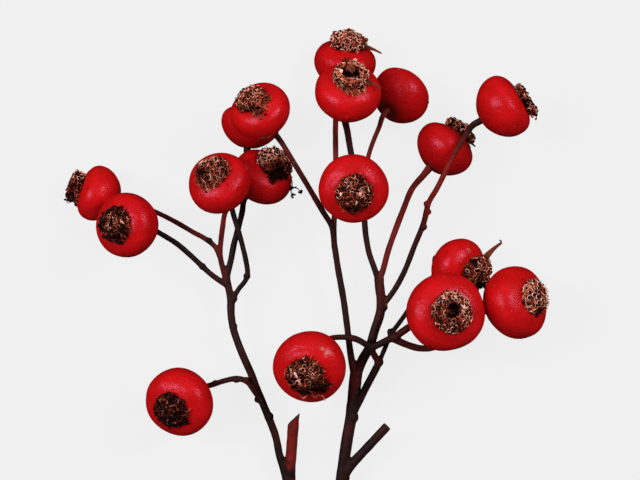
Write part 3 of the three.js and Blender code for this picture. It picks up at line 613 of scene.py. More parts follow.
class Pile:
    """Copies of small parts, gathered into one mesh with a tone and a warmth for each point."""

    def __init__(self):
        self.points = []
        self.faces = []
        self.tones = []
        self.warmths = []
        self.count = 0

    def add(self, points, faces, tones, warmth):
        self.points.append(points)
        self.tones.append(np.broadcast_to(tones, len(points)))
        self.warmths.append(np.broadcast_to(warmth, len(points)))
        self.faces.extend([tuple(i + self.count for i in face) for face in faces])
        self.count += len(points)

    def add_bent(self, pattern, bend, width, thickness, tone, warmth, side=None):
        """One copy bent along the curve with the three points of bend: start, pull and end."""
        start, pull, end = bend
        travelled = pattern.points[:, 2:3]
        middle = (1 - travelled) ** 2 * start + 2 * travelled * (1 - travelled) * pull + travelled ** 2 * end
        forward = unit(2 * (1 - travelled) * (pull - start) + 2 * travelled * (end - pull))
        if side is None:
            side = unit(np.cross(pull - start, end - start) + np.array((1e-9, 2e-9, 3e-9)))
        across = unit(np.cross(side, forward))
        points = middle + pattern.points[:, 0:1] * width * side + pattern.points[:, 1:2] * thickness * across
        self.add(points, pattern.faces, tone + 0.14 * (travelled[:, 0] - 0.5), warmth)

    def add_thread(self, thread, bend, widths, tone, draw, pale=0.05):
        """One dried thread of a random width and shade."""
        width = draw.uniform(*widths)
        self.add_bent(thread, bend, width, width, *thread_shade(tone, draw, pale))

    def add_turned(self, pattern, place, along, size, tones, warmth):
        """One copy scaled by size (three numbers) with its own Z turned to along."""
        along = unit(np.asarray(along, dtype=float))
        helper = np.array((1.0, 0.0, 0.0)) if abs(along[0]) < 0.9 else np.array((0.0, 1.0, 0.0))
        side = unit(np.cross(helper, along))
        across = np.cross(along, side)
        scaled = pattern.points * np.asarray(size)
        points = place + scaled[:, 0:1] * side + scaled[:, 1:2] * across + scaled[:, 2:3] * along
        self.add(points, pattern.faces, tones, warmth)


# ---- Crowns ----

GOLDEN_ANGLE = math.pi * (3 - math.sqrt(5))
STUB_SPACING = 1.22
STUB_RADIUS = 0.7
STUB_SHADES = (-0.45, -0.2, -0.05, 0.05, 0.15, 0.3)
COMBED_SPACING = 0.24
FRINGE_THREADS = 14
PIT_DEPTH = 2.0
STYLES = 26
DISC_SIDES = 40
SIDE_POINTS = 14
DARK_TONE = 0.1
STRAY_SACS = 6
LOBE_SIZE = 0.9
LOBE_DEPTH = 0.12
RUFFLE_SIZE = 0.45
RUFFLE_DEPTH = 0.3
RUFFLE_SEED = 1
CROWN_EDGE_ANGLE = math.radians(50)

# Outline of the mound past the pit's lip, round and flared: share of the way from the lip to the
# widest ring, and share of the mound's height
ROUND_SIDE = [
    (0.0, 1.0), (0.3, 1.0), (0.6, 0.88), (0.85, 0.66), (1.0, 0.4), (0.98, 0.18), (0.86, 0.0),
]
FLARED_SIDE = [
    (0.0, 1.0), (0.4, 1.0), (0.8, 0.97), (1.0, 0.82), (0.93, 0.5), (0.78, 0.2), (0.7, 0.0),
]
MOUND_SINK = 0.35


class Mound:
    """The dried disc of one crown; a share runs evenly over it, from 0 at the pit's lip to 1 at its foot."""

    def __init__(self, number):
        self.number = number
        self.look = CROWNS[number]
        self.radius = HIPS[number][0]
        self.spread = self.look.spread
        self.foot = calyx_height(self.radius)
        self.top = self.foot + self.look.height
        self.lip = self.look.pit * self.spread
        flare = self.look.flare
        rows = (1 - flare) * np.array(ROUND_SIDE) + flare * np.array(FLARED_SIDE)
        steps = np.linspace(0, len(rows) - 1, 80)
        self.out = self.lip + np.interp(steps, range(len(rows)), rows[:, 0]) * (self.spread - self.lip)
        self.up = np.interp(steps, range(len(rows)), rows[:, 1]) * self.look.height + self.foot
        lengths = np.hypot(np.diff(self.out), np.diff(self.up))
        areas = np.cumsum(lengths * (self.out[1:] + self.out[:-1]))
        self.area = math.pi * areas[-1]
        self.shares = np.concatenate(([0], areas / areas[-1]))

    def outline(self):
        """The whole outline, with the pit, for spinning."""
        floor = self.top - min(PIT_DEPTH, self.look.height * 0.7)
        inside = [(0.0, floor), (self.lip * 0.6, floor), (self.lip * 0.82, floor + 0.3)]
        inside.append((self.lip * 0.96, self.top - 0.3))
        side = [tuple(self.profile(share)) for share in np.linspace(0, 1, SIDE_POINTS)]
        return inside + side + [(side[-1][0], self.foot - MOUND_SINK), (0.0, self.foot - MOUND_SINK)]

    def profile(self, share):
        return np.array((np.interp(share, self.shares, self.out), np.interp(share, self.shares, self.up)))

    def normal(self, share, turn):
        out, up = self.profile(min(share + 0.04, 1)) - self.profile(max(share - 0.04, 0))
        return unit(np.array((-up * math.cos(turn), -up * math.sin(turn), out)))

    def point(self, share, turn, lift=0.0):
        out, up = self.profile(share)
        return np.array((out * math.cos(turn), out * math.sin(turn), up)) + self.normal(share, turn) * lift

    def skin_point(self, reach, turn, lift=0.0):
        """A place on the hip's skin, at a reach in shares of the crown's radius."""
        out = self.spread * reach
        up = self.radius * float(skin_height(out / self.radius)) + lift
        return np.array((out * math.cos(turn), out * math.sin(turn), up))

    def cover(self, turn):
        """How far threads are combed over the bare part, from 0 to 1."""
        if self.look.combed is None:
            return 0.0
        return max(0.0, math.cos(turn - self.heading(self.look.combed))) ** 0.5

    def heading(self, degrees):
        """The turn round the crown's own axis that points a given way on the ground."""
        way = Vector((math.cos(math.radians(degrees)), math.sin(math.radians(degrees)), 0))
        local = hip_place(self.number).to_3x3().inverted() @ way
        return math.atan2(local.y, local.x)


def thread_shade(tone, draw, pale):
    """Tone and warmth of one dried thread: mostly red-brown, some nearly black, a few pale."""
    kind = draw.random()
    if kind < 0.34:
        return max(0.02, draw.gauss(0.07, 0.03)), 0.2
    if kind < 1 - pale:
        return tone + draw.gauss(0.0, 0.1), draw.uniform(0.4, 1.0) * min(1, 2.5 * tone) ** 2
    return tone + draw.uniform(0.2, 0.5), draw.uniform(0.0, 0.5)


def add_disc(pile, mound, draw):
    """The body of the mound, spun and roughened: pale where it is bare, near-black under the threads and on
    the pit floor, which is painted shade.
    """
    disc = Pattern(lathe("disc", mound.outline(), DISC_SIDES))
    shape = disc.points
    seed = Vector((draw.uniform(0, 50), draw.uniform(0, 50), 0))
    rough = np.array([noise.noise(Vector(p) * 1.3 + seed) for p in shape])
    out = np.hypot(shape[:, 0], shape[:, 1])
    reach = np.clip((out - mound.lip) / (mound.spread - mound.lip), 0, 1)
    height = (shape[:, 2] - mound.foot) / mound.look.height
    bare = (height > 0.5) & (out > mound.lip * 0.98) & (reach <= mound.look.bare)
    ground = mound.look.tone * (0.4 + 0.35 * mound.look.fused)
    # Near-black (0.03) under the threads and on the pit floor: painted shade in the gaps and the pit.
    tones = np.where(bare, ground + 0.8 * rough, 0.03)
    # Pit walls are darker the narrower the pit: painted shade in the pit.
    shaded_pit_wall = (out > mound.lip * 0.9) & (out < mound.lip * 0.98)
    tones = np.where(shaded_pit_wall, 0.55 * mound.look.pit + 0.6 * rough, tones)
    points = shape + unit(shape * (1, 1, 0.4)) * (0.35 * rough)[:, None]
    pile.add(points, disc.faces, np.clip(tones, 0.02, 0.8), 0.75)


def add_stubs(pile, mound, stub, draw):
    """Broken stamens, set on a spiral over the bare part with their dark buttons outwards."""
    rise = stub.points[:, 2]
    out = np.hypot(stub.points[:, 0], stub.points[:, 1])
    fused = mound.look.fused
    regions = [out < (0.64 if fused > 0.4 else 0.68), (out < 0.9) & (rise > 0.5), rise < 0.1]
    count = round(mound.area / STUB_SPACING ** 2)
    for i in range(count):
        share = (i + 0.5) / count
        turn = i * GOLDEN_ANGLE + draw.uniform(-0.1, 0.1)
        if share > mound.look.bare * (1 - 0.75 * mound.cover(turn)) and draw.random() < 0.85:
            continue
        along = mound.normal(share, turn) + np.array([draw.gauss(0, 0.16) for _ in range(3)])
        place = mound.point(share, turn, -0.2)
        radius = STUB_RADIUS * draw.uniform(0.72, 1.12)
        height = draw.uniform(0.6, 0.95) if draw.random() < 0.8 else draw.uniform(1.0, 1.4)
        shade = mound.look.tone + draw.choice(STUB_SHADES) + draw.gauss(0, 0.06) - 0.12 * share
        # Each stub's sides are darker and its foot near-black: partly painted shade in the gaps between
        # stubs, lifted where the stubs are worn into a pale ground.
        side = shade - 0.36 + 0.16 * mound.look.flare + 0.2 * fused
        tones = np.select(regions, [0.0, shade + 0.24 - 0.18 * fused, 0.05 + 0.4 * fused], side)
        size = (radius, radius * draw.uniform(0.7, 1.0), height)
        pile.add_turned(stub, place, along, size, tones, max(0.0, draw.gauss(0.45 - 0.2 * fused, 0.25)))


def add_tangle(pile, mound, parts, draw):
    """Dried stamens matted over the mound, some with their pollen sac."""
    tone = mound.look.tone
    for _ in range(mound.look.threads):
        share = draw.uniform(0.0, 0.95)
        turn = draw.uniform(0, 2 * math.pi)
        normal = mound.normal(share, turn)
        start = mound.point(share, turn, -0.1)
        sweep = np.cross(normal, np.array([draw.gauss(0, 1) for _ in range(3)]))
        sweep = unit(sweep) * draw.uniform(0.8, 2.4)
        pull = start + normal * draw.uniform(0.5, 1.3) + sweep * 0.4
        end = start + normal * draw.uniform(-0.1, 0.6) + sweep
        pile.add_thread(parts["thread"], (start, pull, end), (0.09, 0.14), tone, draw, 0.1)
        if draw.random() < 0.1:
            add_sac(pile, parts["sac"], end, draw)


def add_sac(pile, sac, place, draw):
    along = np.array([draw.gauss(0, 1) for _ in range(3)])
    size = draw.uniform(0.3, 0.62)
    tone = draw.uniform(0.0, 0.08) if draw.random() < 0.85 else draw.uniform(0.15, 0.4)
    pile.add_turned(sac, place, along, (size, size, size), tone, 0.2)


def add_combed(pile, mound, thread, draw):
    """Stamens combed down the side of the mound to its foot."""
    count = round(2 * math.pi * mound.spread / COMBED_SPACING * (1 - 0.9 * mound.look.flare))
    for i in range(count):
        turn = 2 * math.pi * (i + draw.uniform(-0.5, 0.5)) / count
        swing = turn + draw.gauss(0, 0.12)
        cover = mound.cover(turn)
        if draw.random() < 0.4 * cover:
            continue
        high = draw.uniform(0.4, 0.75) * (1 - 0.7 * cover)
        start = mound.point(high, turn, 0.1)
        end = mound.skin_point(draw.uniform(0.88, 1.0), swing, draw.uniform(0.0, 0.3))
        pull = mound.point((high + 1) / 2, (turn + swing) / 2, draw.uniform(0.3, 0.7) + 0.5 * cover)
        pile.add_thread(thread, (start, pull, end), (0.08, 0.12), mound.look.tone - 0.1, draw)


def add_tuft(pile, mound, parts, tuft, draw):
    """Stamens that lie out over the skin to one side, with dark sacs among them."""
    heading, half_width, reach, threads, sacs, tone = tuft
    middle, spread = mound.heading(heading), math.radians(half_width)
    for _ in range(threads):
        offset = draw.uniform(-1, 1)
        turn = middle + offset * spread
        swing = turn + draw.gauss(0, 0.15)
        farthest = 1.02 + (reach - 1.02) * (1 - 0.6 * offset * offset)
        start = mound.point(draw.uniform(0.6, 0.9), turn, 0.0)
        end = mound.skin_point(draw.uniform(1.0, farthest), swing, draw.uniform(0.05, 0.3))
        pull = mound.skin_point(draw.uniform(0.96, 1.08), turn + draw.gauss(0, 0.12), draw.uniform(0.3, 0.9))
        pile.add_thread(parts["thread"], (start, pull, end), (0.08, 0.13), tone, draw)
    for _ in range(sacs):
        offset = draw.uniform(-0.8, 0.8)
        farthest = 1 + (reach - 1) * (1 - offset * offset)
        turn = middle + offset * spread
        place = mound.skin_point(draw.uniform(0.9, farthest), turn, draw.uniform(0.2, 0.6))
        add_sac(pile, parts["sac"], place, draw)


def add_sacs(pile, mound, sac, draw):
    """Loose dark pollen sacs over the mound."""
    for _ in range(mound.look.sacs):
        place = mound.point(draw.random(), draw.uniform(0, 2 * math.pi), draw.uniform(0.2, 0.7))
        add_sac(pile, sac, place, draw)


def add_styles(pile, mound, sac, draw):
    """The knot of dried styles in the pit."""
    size = mound.look.knot
    middle = np.array((0, 0, mound.top + mound.look.rise - size * 1.1))
    for i in range(STYLES):
        turn = i * GOLDEN_ANGLE
        share = math.sqrt((i + 0.5) / STYLES)
        along = np.array((math.cos(turn) * share, math.sin(turn) * share, 1.05 - share))
        place = middle + along * (size * 0.85, size * 0.85, size)
        tone = draw.uniform(0.1 + 0.2 * size, 0.2 + 0.45 * size)
        pile.add_turned(sac, place, along, (size * 0.36, size * 0.4, size * 0.5), tone, 0.1)


def add_scraps(pile, mound, sac, draw):
    """Larger scraps that catch the eye, each a cluster of three flakes."""
    back = np.array(hip_place(mound.number).to_3x3().inverted())
    widest = int(np.argmax(mound.out)) + 1
    edge = mound.spread * 0.85
    for right, up, size, tone, warmth in SCRAPS.get(mound.number, []):
        seen_at = back @ np.array((right, up, 0.0)) + (0, 0, mound.top)
        height = mound.top
        for _ in range(4):
            place = seen_at + back[:, 2] * ((height - seen_at[2]) / back[2, 2])
            place[:2] *= min(1, edge / math.hypot(place[0], place[1]))
            height = np.interp(math.hypot(place[0], place[1]), mound.out[:widest], mound.up[:widest]) + 0.55
        for _ in range(3):
            along = np.array((draw.gauss(0, 1), draw.gauss(0, 1), draw.gauss(0, 0.3)))
            nudge = np.array([draw.gauss(0, 0.18) for _ in range(3)]) * size
            flake = (size * 0.55, size * draw.uniform(0.4, 0.7), size * draw.uniform(0.5, 0.8))
            pile.add_turned(sac, place + nudge, along, flake, tone + draw.gauss(0, 0.05), warmth)


def add_sepals(pile, mound, blade, draw):
    for hip, heading, reach, rise, width in SEPALS:
        if hip != mound.number:
            continue
        turn = mound.heading(heading)
        out = np.array((math.cos(turn), math.sin(turn), 0.0))
        up = np.array((0.0, 0.0, 1.0))
        start = out * mound.spread * 0.55 + up * (mound.foot + 1.1)
        pull = out * (mound.spread * 0.4 + reach * 0.5) + up * (mound.foot + 1.3)
        end = out * reach + up * (mound.foot + 1 + rise)
        sky = np.array(hip_place(mound.number).to_3x3().inverted() @ Vector((0, 0, 1)))
        side = unit(np.cross(sky, end - start))
        shade = 0.36 + draw.gauss(0, 0.03)
        pile.add_bent(blade, (start, pull, end), width, width, shade, 0.5, side)


def add_strays(pile, mound, parts, draw):
    """Threads that hang clear of the crown, the dark ones with sacs at their ends."""
    back = hip_place(mound.number).inverted()
    slip = Vector(slip_of(mound.number))
    for hip, tone, *route in STRAYS:
        if hip != mound.number:
            continue
        bend = [np.array(back @ (in_frame(point) - slip)) / MM for point in route]
        dark = tone < DARK_TONE
        width = 0.22 if dark else 0.3
        pile.add_bent(parts["thread"], bend, width, width, tone, 0.0)
        for _ in range(STRAY_SACS if dark else 0):
            nudge = np.array([draw.gauss(0, 0.36) for _ in range(3)])
            add_sac(pile, parts["sac"], bend[2] + nudge, draw)


def ruffle(points, number):
    """Pulls a crown's points a little out of round, all together."""
    noise.seed_set(RUFFLE_SEED)
    seed = Vector((number * 4.1, number * 2.3, number * 1.7))
    turns = np.arctan2(points[:, 1], points[:, 0])
    lobes = np.array([noise.noise(Vector((math.cos(t), math.sin(t), 0)) * LOBE_SIZE + seed) for t in turns])
    points[:, :2] *= (1 + LOBE_DEPTH * lobes)[:, None]
    for i, point in enumerate(points):
        shift = noise.noise_vector(Vector(point) * RUFFLE_SIZE + seed)
        points[i] = point + np.array(shift) * RUFFLE_DEPTH
    return points


def spotted_and_shaded(tones, mound, placed):
    """Tones made paler or darker round the crown's spots, as seen from above; the dark spots on the side
    away from the lights, and over crown 14's pit, are painted shade.
    """
    middle = (place_points(np.array([(0.0, 0.0, mound.top)]), mound.number)[0] + slip_of(mound.number))[:2]
    change = np.zeros(len(tones))
    for right, up, size, amount in SPOTS_AND_SHADE.get(mound.number, []):
        distance = np.linalg.norm(placed[:, :2] - middle - np.array((right, up)) * MM, axis=1) / (size * MM)
        change += amount * np.exp(-(distance ** 2))
    darker = tones * (1 + np.clip(change, -1, 0))
    return np.where(tones > 0.13, darker + np.clip(change, 0, 1), darker)


def make_crown(number, parts):
    """The dried calyx of one hip: disc, stubs, threads, tufts, pollen sacs, styles and sepals."""
    draw = random.Random(1000 + number)
    mound = Mound(number)
    pile = Pile()
    add_disc(pile, mound, draw)
    add_stubs(pile, mound, parts["stub"], draw)
    add_tangle(pile, mound, parts, draw)
    add_combed(pile, mound, parts["thread"], draw)
    fringe = (0, 180, 1.14, FRINGE_THREADS, 0, mound.look.tone - 0.1)
    for tuft in [fringe] + TUFTS.get(number, []):
        add_tuft(pile, mound, parts, tuft, draw)
    add_sacs(pile, mound, parts["sac"], draw)
    add_styles(pile, mound, parts["sac"], draw)
    add_scraps(pile, mound, parts["sac"], draw)
    points = ruffle(np.concatenate(pile.points), number)
    late = Pile()
    add_sepals(late, mound, parts["blade"], draw)
    add_strays(late, mound, parts, draw)
    if late.count:
        tones, warmths = np.concatenate(late.tones), np.concatenate(late.warmths)
        pile.add(np.concatenate(late.points), late.faces, tones, warmths)
        points = np.concatenate([points, pile.points[-1]])
    placed = place_points(points, number) + slip_of(number)
    placed[:, 2] = np.maximum(placed[:, 2], 0.0)
    crown = new_piece(f"calyx_{number:02d}", placed.tolist(), pile.faces)
    tones = spotted_and_shaded(np.concatenate(pile.tones), mound, placed)
    store(crown, "tone", np.clip(tones, 0, 1))
    store(crown, "warmth", np.clip(np.concatenate(pile.warmths), 0, 1))
    make_active(crown)
    bpy.ops.object.shade_smooth_by_angle(angle=CROWN_EDGE_ANGLE)
    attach(crown, "root")
    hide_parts(f"crown_{number:02d}")
    return crown


# ---- Stem ----

ROUTE_STEP = 0.7
STEM_VOXEL = 0.25
SMOOTH_ROUNDS = 5
CUT_REACH = 5.5
KNOT_SHARE = 0.97
BARK_EDGE_ANGLE = math.radians(40)
GRAIN_STRETCH = 0.12
CUT_SLOT = 1


def smooth_route(points):
    """Points every ROUTE_STEP along a smooth curve through the given points, in millimetres."""
    given = [np.asarray(p, dtype=float) for p in points]
    given = [2 * given[0] - given[1]] + given + [2 * given[-1] - given[-2]]
    route = []
    for a, b, c, d in zip(given, given[1:], given[2:], given[3:]):
        t1 = np.linalg.norm(b - a) ** 0.5
        t2 = t1 + np.linalg.norm(c - b) ** 0.5
        t3 = t2 + np.linalg.norm(d - c) ** 0.5
        steps = max(1, round(np.linalg.norm(c - b) / ROUTE_STEP))
        for i in range(steps):
            t = t1 + (t2 - t1) * i / steps
            first = (t1 - t) / t1 * a + t / t1 * b
            second = (t2 - t) / (t2 - t1) * b + (t - t1) / (t2 - t1) * c
            third = (t3 - t) / (t3 - t2) * c + (t - t2) / (t3 - t2) * d
            left = (t2 - t) / t2 * first + t / t2 * second
            right = (t3 - t) / (t3 - t1) * second + (t - t1) / (t3 - t1) * third
            route.append((t2 - t) / (t2 - t1) * left + (t - t1) / (t2 - t1) * right)
    route.append(given[-2])
    return np.array(route)


def all_branches():
    """Every branch as (route, radii, redness), each row for one point of the route."""
    branches = []
    for radii, redness, points in STEMS.values():
        route = smooth_route(points)
        share = np.linspace(0, 1, len(route))
        branches.append((route, np.interp(share, (0, 1), radii), spread_out(redness, share)))
    for number, (radii, redness, points) in PEDICELS.items():
        radius, centre, _, _ = HIPS[number]
        axis = np.array(hip_place(number).to_3x3() @ Vector((0, 0, 1)))
        end = np.array(centre) + axis * (base_height(radius) - PIECE_GAP)
        approach = end - axis * APPROACH_LENGTH
        route = smooth_route(list(points) + [approach, end, end + axis * 0.9])
        share = np.linspace(0, 1, len(route))
        flare = 1 + (PEDICEL_FLARE - 1) * share ** FLARE_SHARPNESS
        branches.append((route, np.interp(share, (0, 1), radii) * flare, spread_out(redness, share)))
    return branches


def spread_out(values, share):
    """Values given evenly from start to end, read at a share of the length."""
    return np.interp(share, np.linspace(0, 1, len(values)), values)


def branch_tube(route, radii, seed):
    """One branch as a round curve made into a closed mesh."""
    curve = bpy.data.curves.new("branch", "CURVE")
    curve.dimensions = "3D"
    curve.bevel_depth = MM
    curve.bevel_resolution = 4
    curve.use_fill_caps = True
    spline = curve.splines.new("POLY")
    spline.points.add(len(route) - 1)
    for i, point in enumerate(spline.points):
        wobble = noise.noise(Vector(route[i]) * 0.35 + Vector((seed, 0, 0)))
        point.co = (*in_frame(route[i]), 1)
        point.radius = radii[i] * (1 + 0.07 * wobble)
    make_active(add_object("branch", curve))
    bpy.ops.object.convert(target="MESH")
    return bpy.context.object


def knot_lump(place, radius):
    deselect_all()
    bpy.ops.mesh.primitive_uv_sphere_add(
        segments=20, ring_count=12, radius=radius * MM, location=in_frame(place)
    )
    lump = bpy.context.object
    bpy.ops.object.transform_apply(location=True, rotation=False, scale=False)
    return lump


def cut_across(stem, point, facing):
    """Cuts off what is past the plane near the point and caps it with bare wood."""
    place, normal = in_frame(point), Vector(facing).normalized()
    with editing(stem):
        bpy.ops.mesh.select_all(action="DESELECT")
    points = points_of(stem)
    near = np.linalg.norm(points - np.array(place), axis=1) < CUT_REACH * MM
    stem.data.vertices.foreach_set("select", near)
    loose = np.array([all(near[v] for v in face.vertices) for face in stem.data.polygons])
    stem.data.polygons.foreach_set("select", loose)
    ends = np.array([near[e.vertices[0]] and near[e.vertices[1]] for e in stem.data.edges])
    stem.data.edges.foreach_set("select", ends)
    bpy.ops.object.mode_set(mode="EDIT")
    bpy.ops.mesh.bisect(plane_co=place, plane_no=normal, use_fill=True, clear_outer=True)
    stem.active_material_index = CUT_SLOT
    bpy.ops.object.material_slot_assign()
    bpy.ops.object.mode_set(mode="OBJECT")


def make_stem(bark, cut_wood):
    """Every branch and knot grown into one skin, with the three cuts."""
    branches = all_branches()
    tubes = [branch_tube(route, radii, seed) for seed, (route, radii, _) in enumerate(branches)]
    tubes += [knot_lump(place, radius * KNOT_SHARE) for place, radius in KNOTS]
    deselect_all()
    for tube in tubes:
        tube.select_set(True)
    bpy.context.view_layer.objects.active = tubes[0]
    bpy.ops.object.join()
    stem = bpy.context.object
    stem.name = "woody_stem"
    remesh = stem.modifiers.new("grow_together", "REMESH")
    remesh.mode = "VOXEL"
    remesh.voxel_size = STEM_VOXEL * MM
    smooth = stem.modifiers.new("soften", "SMOOTH")
    smooth.factor = 0.5
    smooth.iterations = SMOOTH_ROUNDS
    apply_modifiers(stem)
    stem.data.materials.clear()
    stem.data.materials.append(bark)
    stem.data.materials.append(cut_wood)
    for point, facing in CUTS.values():
        cut_across(stem, point, facing)
    points = points_of(stem)
    points[:, 2] = np.maximum(points[:, 2], 0.0)
    set_points(stem, points)
    paint_stem(stem, branches)
    make_active(stem)
    bpy.ops.object.shade_smooth_by_angle(angle=BARK_EDGE_ANGLE)
    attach(stem, "root")
    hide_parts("stem")


def paint_stem(stem, branches):
    """Keeps, for each point, how red the bark is and where it lies along its branch."""
    rows = sum(len(route) for route, _, _ in branches)
    tree = KDTree(rows)
    facts = []
    for route, radii, redness in branches:
        travelled = np.concatenate(([0], np.cumsum(np.linalg.norm(np.diff(route, axis=0), axis=1))))
        forward = unit(np.gradient(route, axis=0))
        for i, point in enumerate(route):
            tree.insert(in_frame(point), len(facts))
            facts.append((redness[i], travelled[i], forward[i]))
    tree.balance()
    points = points_of(stem)
    red = np.empty(len(points))
    grain = np.empty((len(points), 3))
    for i, point in enumerate(points):
        found = tree.find_n(point, 3)
        weights = [1 / (distance + 1e-5) for _, _, distance in found]
        red[i] = sum(w * facts[k][0] for w, (_, k, _) in zip(weights, found)) / sum(weights)
        _, nearest, _ = found[0]
        _, travelled, forward = facts[nearest]
        offset = (point - np.array(found[0][0])) / MM
        along = float(offset @ forward)
        around = offset - along * forward
        grain[i] = (around[0], around[1], around[2] + (travelled + along) * GRAIN_STRETCH)
    marks = np.zeros(len(points))
    for place, size, strength in SCARS:
        near = np.exp(-((np.linalg.norm(points - in_frame(place), axis=1) / (size * MM)) ** 4))
        marks += strength * near
    store(stem, "scars", marks)
    store(stem, "redness", red)
    store(stem, "grain", grain)


# ---- Materials ----

FLECK_SHARPNESS = 30


class Nodes:
    """One node tree. Wherever it takes a value, that may be a socket, a number or a colour."""

    def __init__(self, tree):
        self.tree = tree

    def feed(self, socket, value):
        if isinstance(value, bpy.types.NodeSocket):
            self.tree.links.new(value, socket)
        elif isinstance(value, (int, float)):
            socket.default_value = value
        else:
            socket.default_value = (*value, 1)

    def set(self, node, **values):
        """Feeds a node's inputs by name; an underscore stands for a space."""
        for name, value in values.items():
            self.feed(node.inputs[name.replace("_", " ")], value)

    def add(self, kind, settings=None, **values):
        node = self.tree.nodes.new(kind)
        for key, value in (settings or {}).items():
            setattr(node, key, value)
        self.set(node, **values)
        return node

    def place(self, group, position, **values):
        """A shared effect's outputs at a position."""
        return self.add("ShaderNodeGroup", {"node_tree": group}, Position=position, **values).outputs

    def position(self):
        return self.add("ShaderNodeTexCoord").outputs["Object"]

    def attribute(self, name, output="Fac"):
        return self.add("ShaderNodeAttribute", {"attribute_name": name}).outputs[output]

    def maths(self, operation, first, second, clamp=False):
        node = self.add("ShaderNodeMath", {"operation": operation, "use_clamp": clamp})
        self.feed(node.inputs[0], first)
        self.feed(node.inputs[1], second)
        return node.outputs[0]

    def mix(self, factor, first, second):
        """A mix of two colours."""
        node = self.add("ShaderNodeMix", {"data_type": "RGBA"})
        for place, value in ((0, factor), (6, first), (7, second)):
            self.feed(node.inputs[place], value)
        return node.outputs[2]

    def ramp(self, factor, stops):
        """A colour ramp with the given (position, colour) stops."""
        node = self.add("ShaderNodeValToRGB", Fac=factor)
        elements = node.color_ramp.elements
        while len(elements) < len(stops):
            elements.new(0.5)
        for element, (position, colour) in zip(elements, stops):
            element.position = position
            element.color = (*colour, 1)
        return node.outputs["Color"]

    def scaled(self, value, low, high, new_low=0.0, new_high=1.0):
        """A value mapped from one range to another, clamped."""
        node = self.add(
            "ShaderNodeMapRange", {"clamp": True},
            Value=value, From_Min=low, From_Max=high, To_Min=new_low, To_Max=new_high,
        )
        return node.outputs["Result"]

    def bump(self, height, strength, distance, **normal):
        node = self.add("ShaderNodeBump", Strength=strength, Distance=distance, Height=height, **normal)
        return node.outputs["Normal"]


def start_group(name, numbers, results):
    """A shared effect that reads a position and the given numbers, with its inputs and outputs."""
    group = bpy.data.node_groups.new(name, "ShaderNodeTree")
    group.interface.new_socket("Position", in_out="INPUT", socket_type="NodeSocketVector")
    for title, value in numbers.items():
        socket = group.interface.new_socket(title, in_out="INPUT", socket_type="NodeSocketFloat")
        socket.default_value = value
    for title in results:
        group.interface.new_socket(title, in_out="OUTPUT", socket_type="NodeSocketFloat")
    nodes = Nodes(group)
    return group, nodes, nodes.add("NodeGroupInput").outputs, nodes.add("NodeGroupOutput").inputs


def mottle_group():
    """Shared effect: soft blotches and fine grain, both from 0 to 1, from a position."""
    scales = {"Blotch Scale": 200, "Grain Scale": 1500}
    group, nodes, given, results = start_group("Blotches and grain", scales, ("Blotches", "Grain"))
    for scale, result, detail, roughness in (
        ("Blotch Scale", "Blotches", 3.0, 0.55), ("Grain Scale", "Grain", 4.0, 0.6),
    ):
        pattern = nodes.add(
            "ShaderNodeTexNoise",
            Vector=given["Position"], Scale=given[scale], Detail=detail, Roughness=roughness,
        )
        nodes.feed(results[result], pattern.outputs["Fac"])
    return group


def fleck_group():
    """Shared effect: a scatter of small round flecks, 1 inside them, from a position."""
    sizes = {"Scale": 300, "Size": 0.1}
    group, nodes, given, results = start_group("Flecks", sizes, ("Flecks",))
    cells = nodes.add("ShaderNodeTexVoronoi", Vector=given["Position"], Scale=given["Scale"]).outputs
    chance = nodes.add("ShaderNodeSeparateColor", Color=cells["Color"]).outputs["Red"]
    reach = nodes.maths("MULTIPLY", chance, given["Size"])
    inside = nodes.maths("SUBTRACT", reach, cells["Distance"])
    nodes.feed(results["Flecks"], nodes.maths("MULTIPLY", inside, FLECK_SHARPNESS, clamp=True))
    return group


def start_material(name):
    material = bpy.data.materials.new(name)
    material.use_nodes = True
    return material, Nodes(material.node_tree), material.node_tree.nodes["Principled BSDF"]


def hip_skin_material(mottle, flecks):
    """Waxy red skin, with blotches, pin-prick specks, painted shade towards the stalk and a browner dimple
    there that is partly the skin's own browning and partly painted shade.
    """
    material, nodes, shader = start_material("waxy_red_skin")
    position = nodes.position()
    broad = nodes.place(mottle, position, Blotch_Scale=170.0, Grain_Scale=900.0)
    colour = nodes.ramp(broad["Blotches"], [
        (0.3, (0.42, 0.004, 0.0032)), (0.55, (0.50, 0.0045, 0.005)), (0.75, (0.58, 0.006, 0.0075)),
    ])
    height = nodes.attribute("toward_calyx")
    # Darker red towards the stalk end: painted shade.
    stalk_shade = nodes.scaled(height, -0.72, -0.35, 0.75, 0.0)
    colour = nodes.mix(stalk_shade, colour, (0.24, 0.004, 0.004))
    colour = nodes.mix(nodes.attribute("deepness"), colour, (0.34, 0.003, 0.004))
    dark = nodes.place(flecks, position, Scale=330.0, Size=0.12)
    colour = nodes.mix(dark["Flecks"], colour, (0.08, 0.003, 0.004))
    # A browner ring in the dimple round the stalk: partly the skin's own browning, partly painted shade in
    # the hollow.
    dimple = nodes.scaled(height, -0.765, -0.68, 0.9, 0.0)
    colour = nodes.mix(dimple, colour, (0.07, 0.012, 0.006))
    scab = nodes.place(mottle, position, Blotch_Scale=900.0, Grain_Scale=2500.0)
    broken = nodes.scaled(scab["Blotches"], 0.4, 0.55)
    patch = nodes.maths("MULTIPLY", nodes.attribute("worn"), broken, clamp=True)
    colour = nodes.mix(patch, colour, (0.50, 0.16, 0.13))
    pale = nodes.place(flecks, position, Scale=210.0, Size=0.075)
    colour = nodes.mix(pale["Flecks"], colour, (0.75, 0.16, 0.16))
    nodes.set(
        shader, Base_Color=colour, Roughness=nodes.scaled(broad["Grain"], 0.3, 0.7, 0.22, 0.34),
        Specular_Tint=(1.0, 0.5, 0.72), Specular_IOR_Level=0.25, Subsurface_Weight=0.08,
        Subsurface_Scale=0.002, Normal=nodes.bump(broad["Grain"], 0.6, 0.0003),
    )
    shader.inputs["Subsurface Radius"].default_value = (1.0, 0.15, 0.1)
    return material


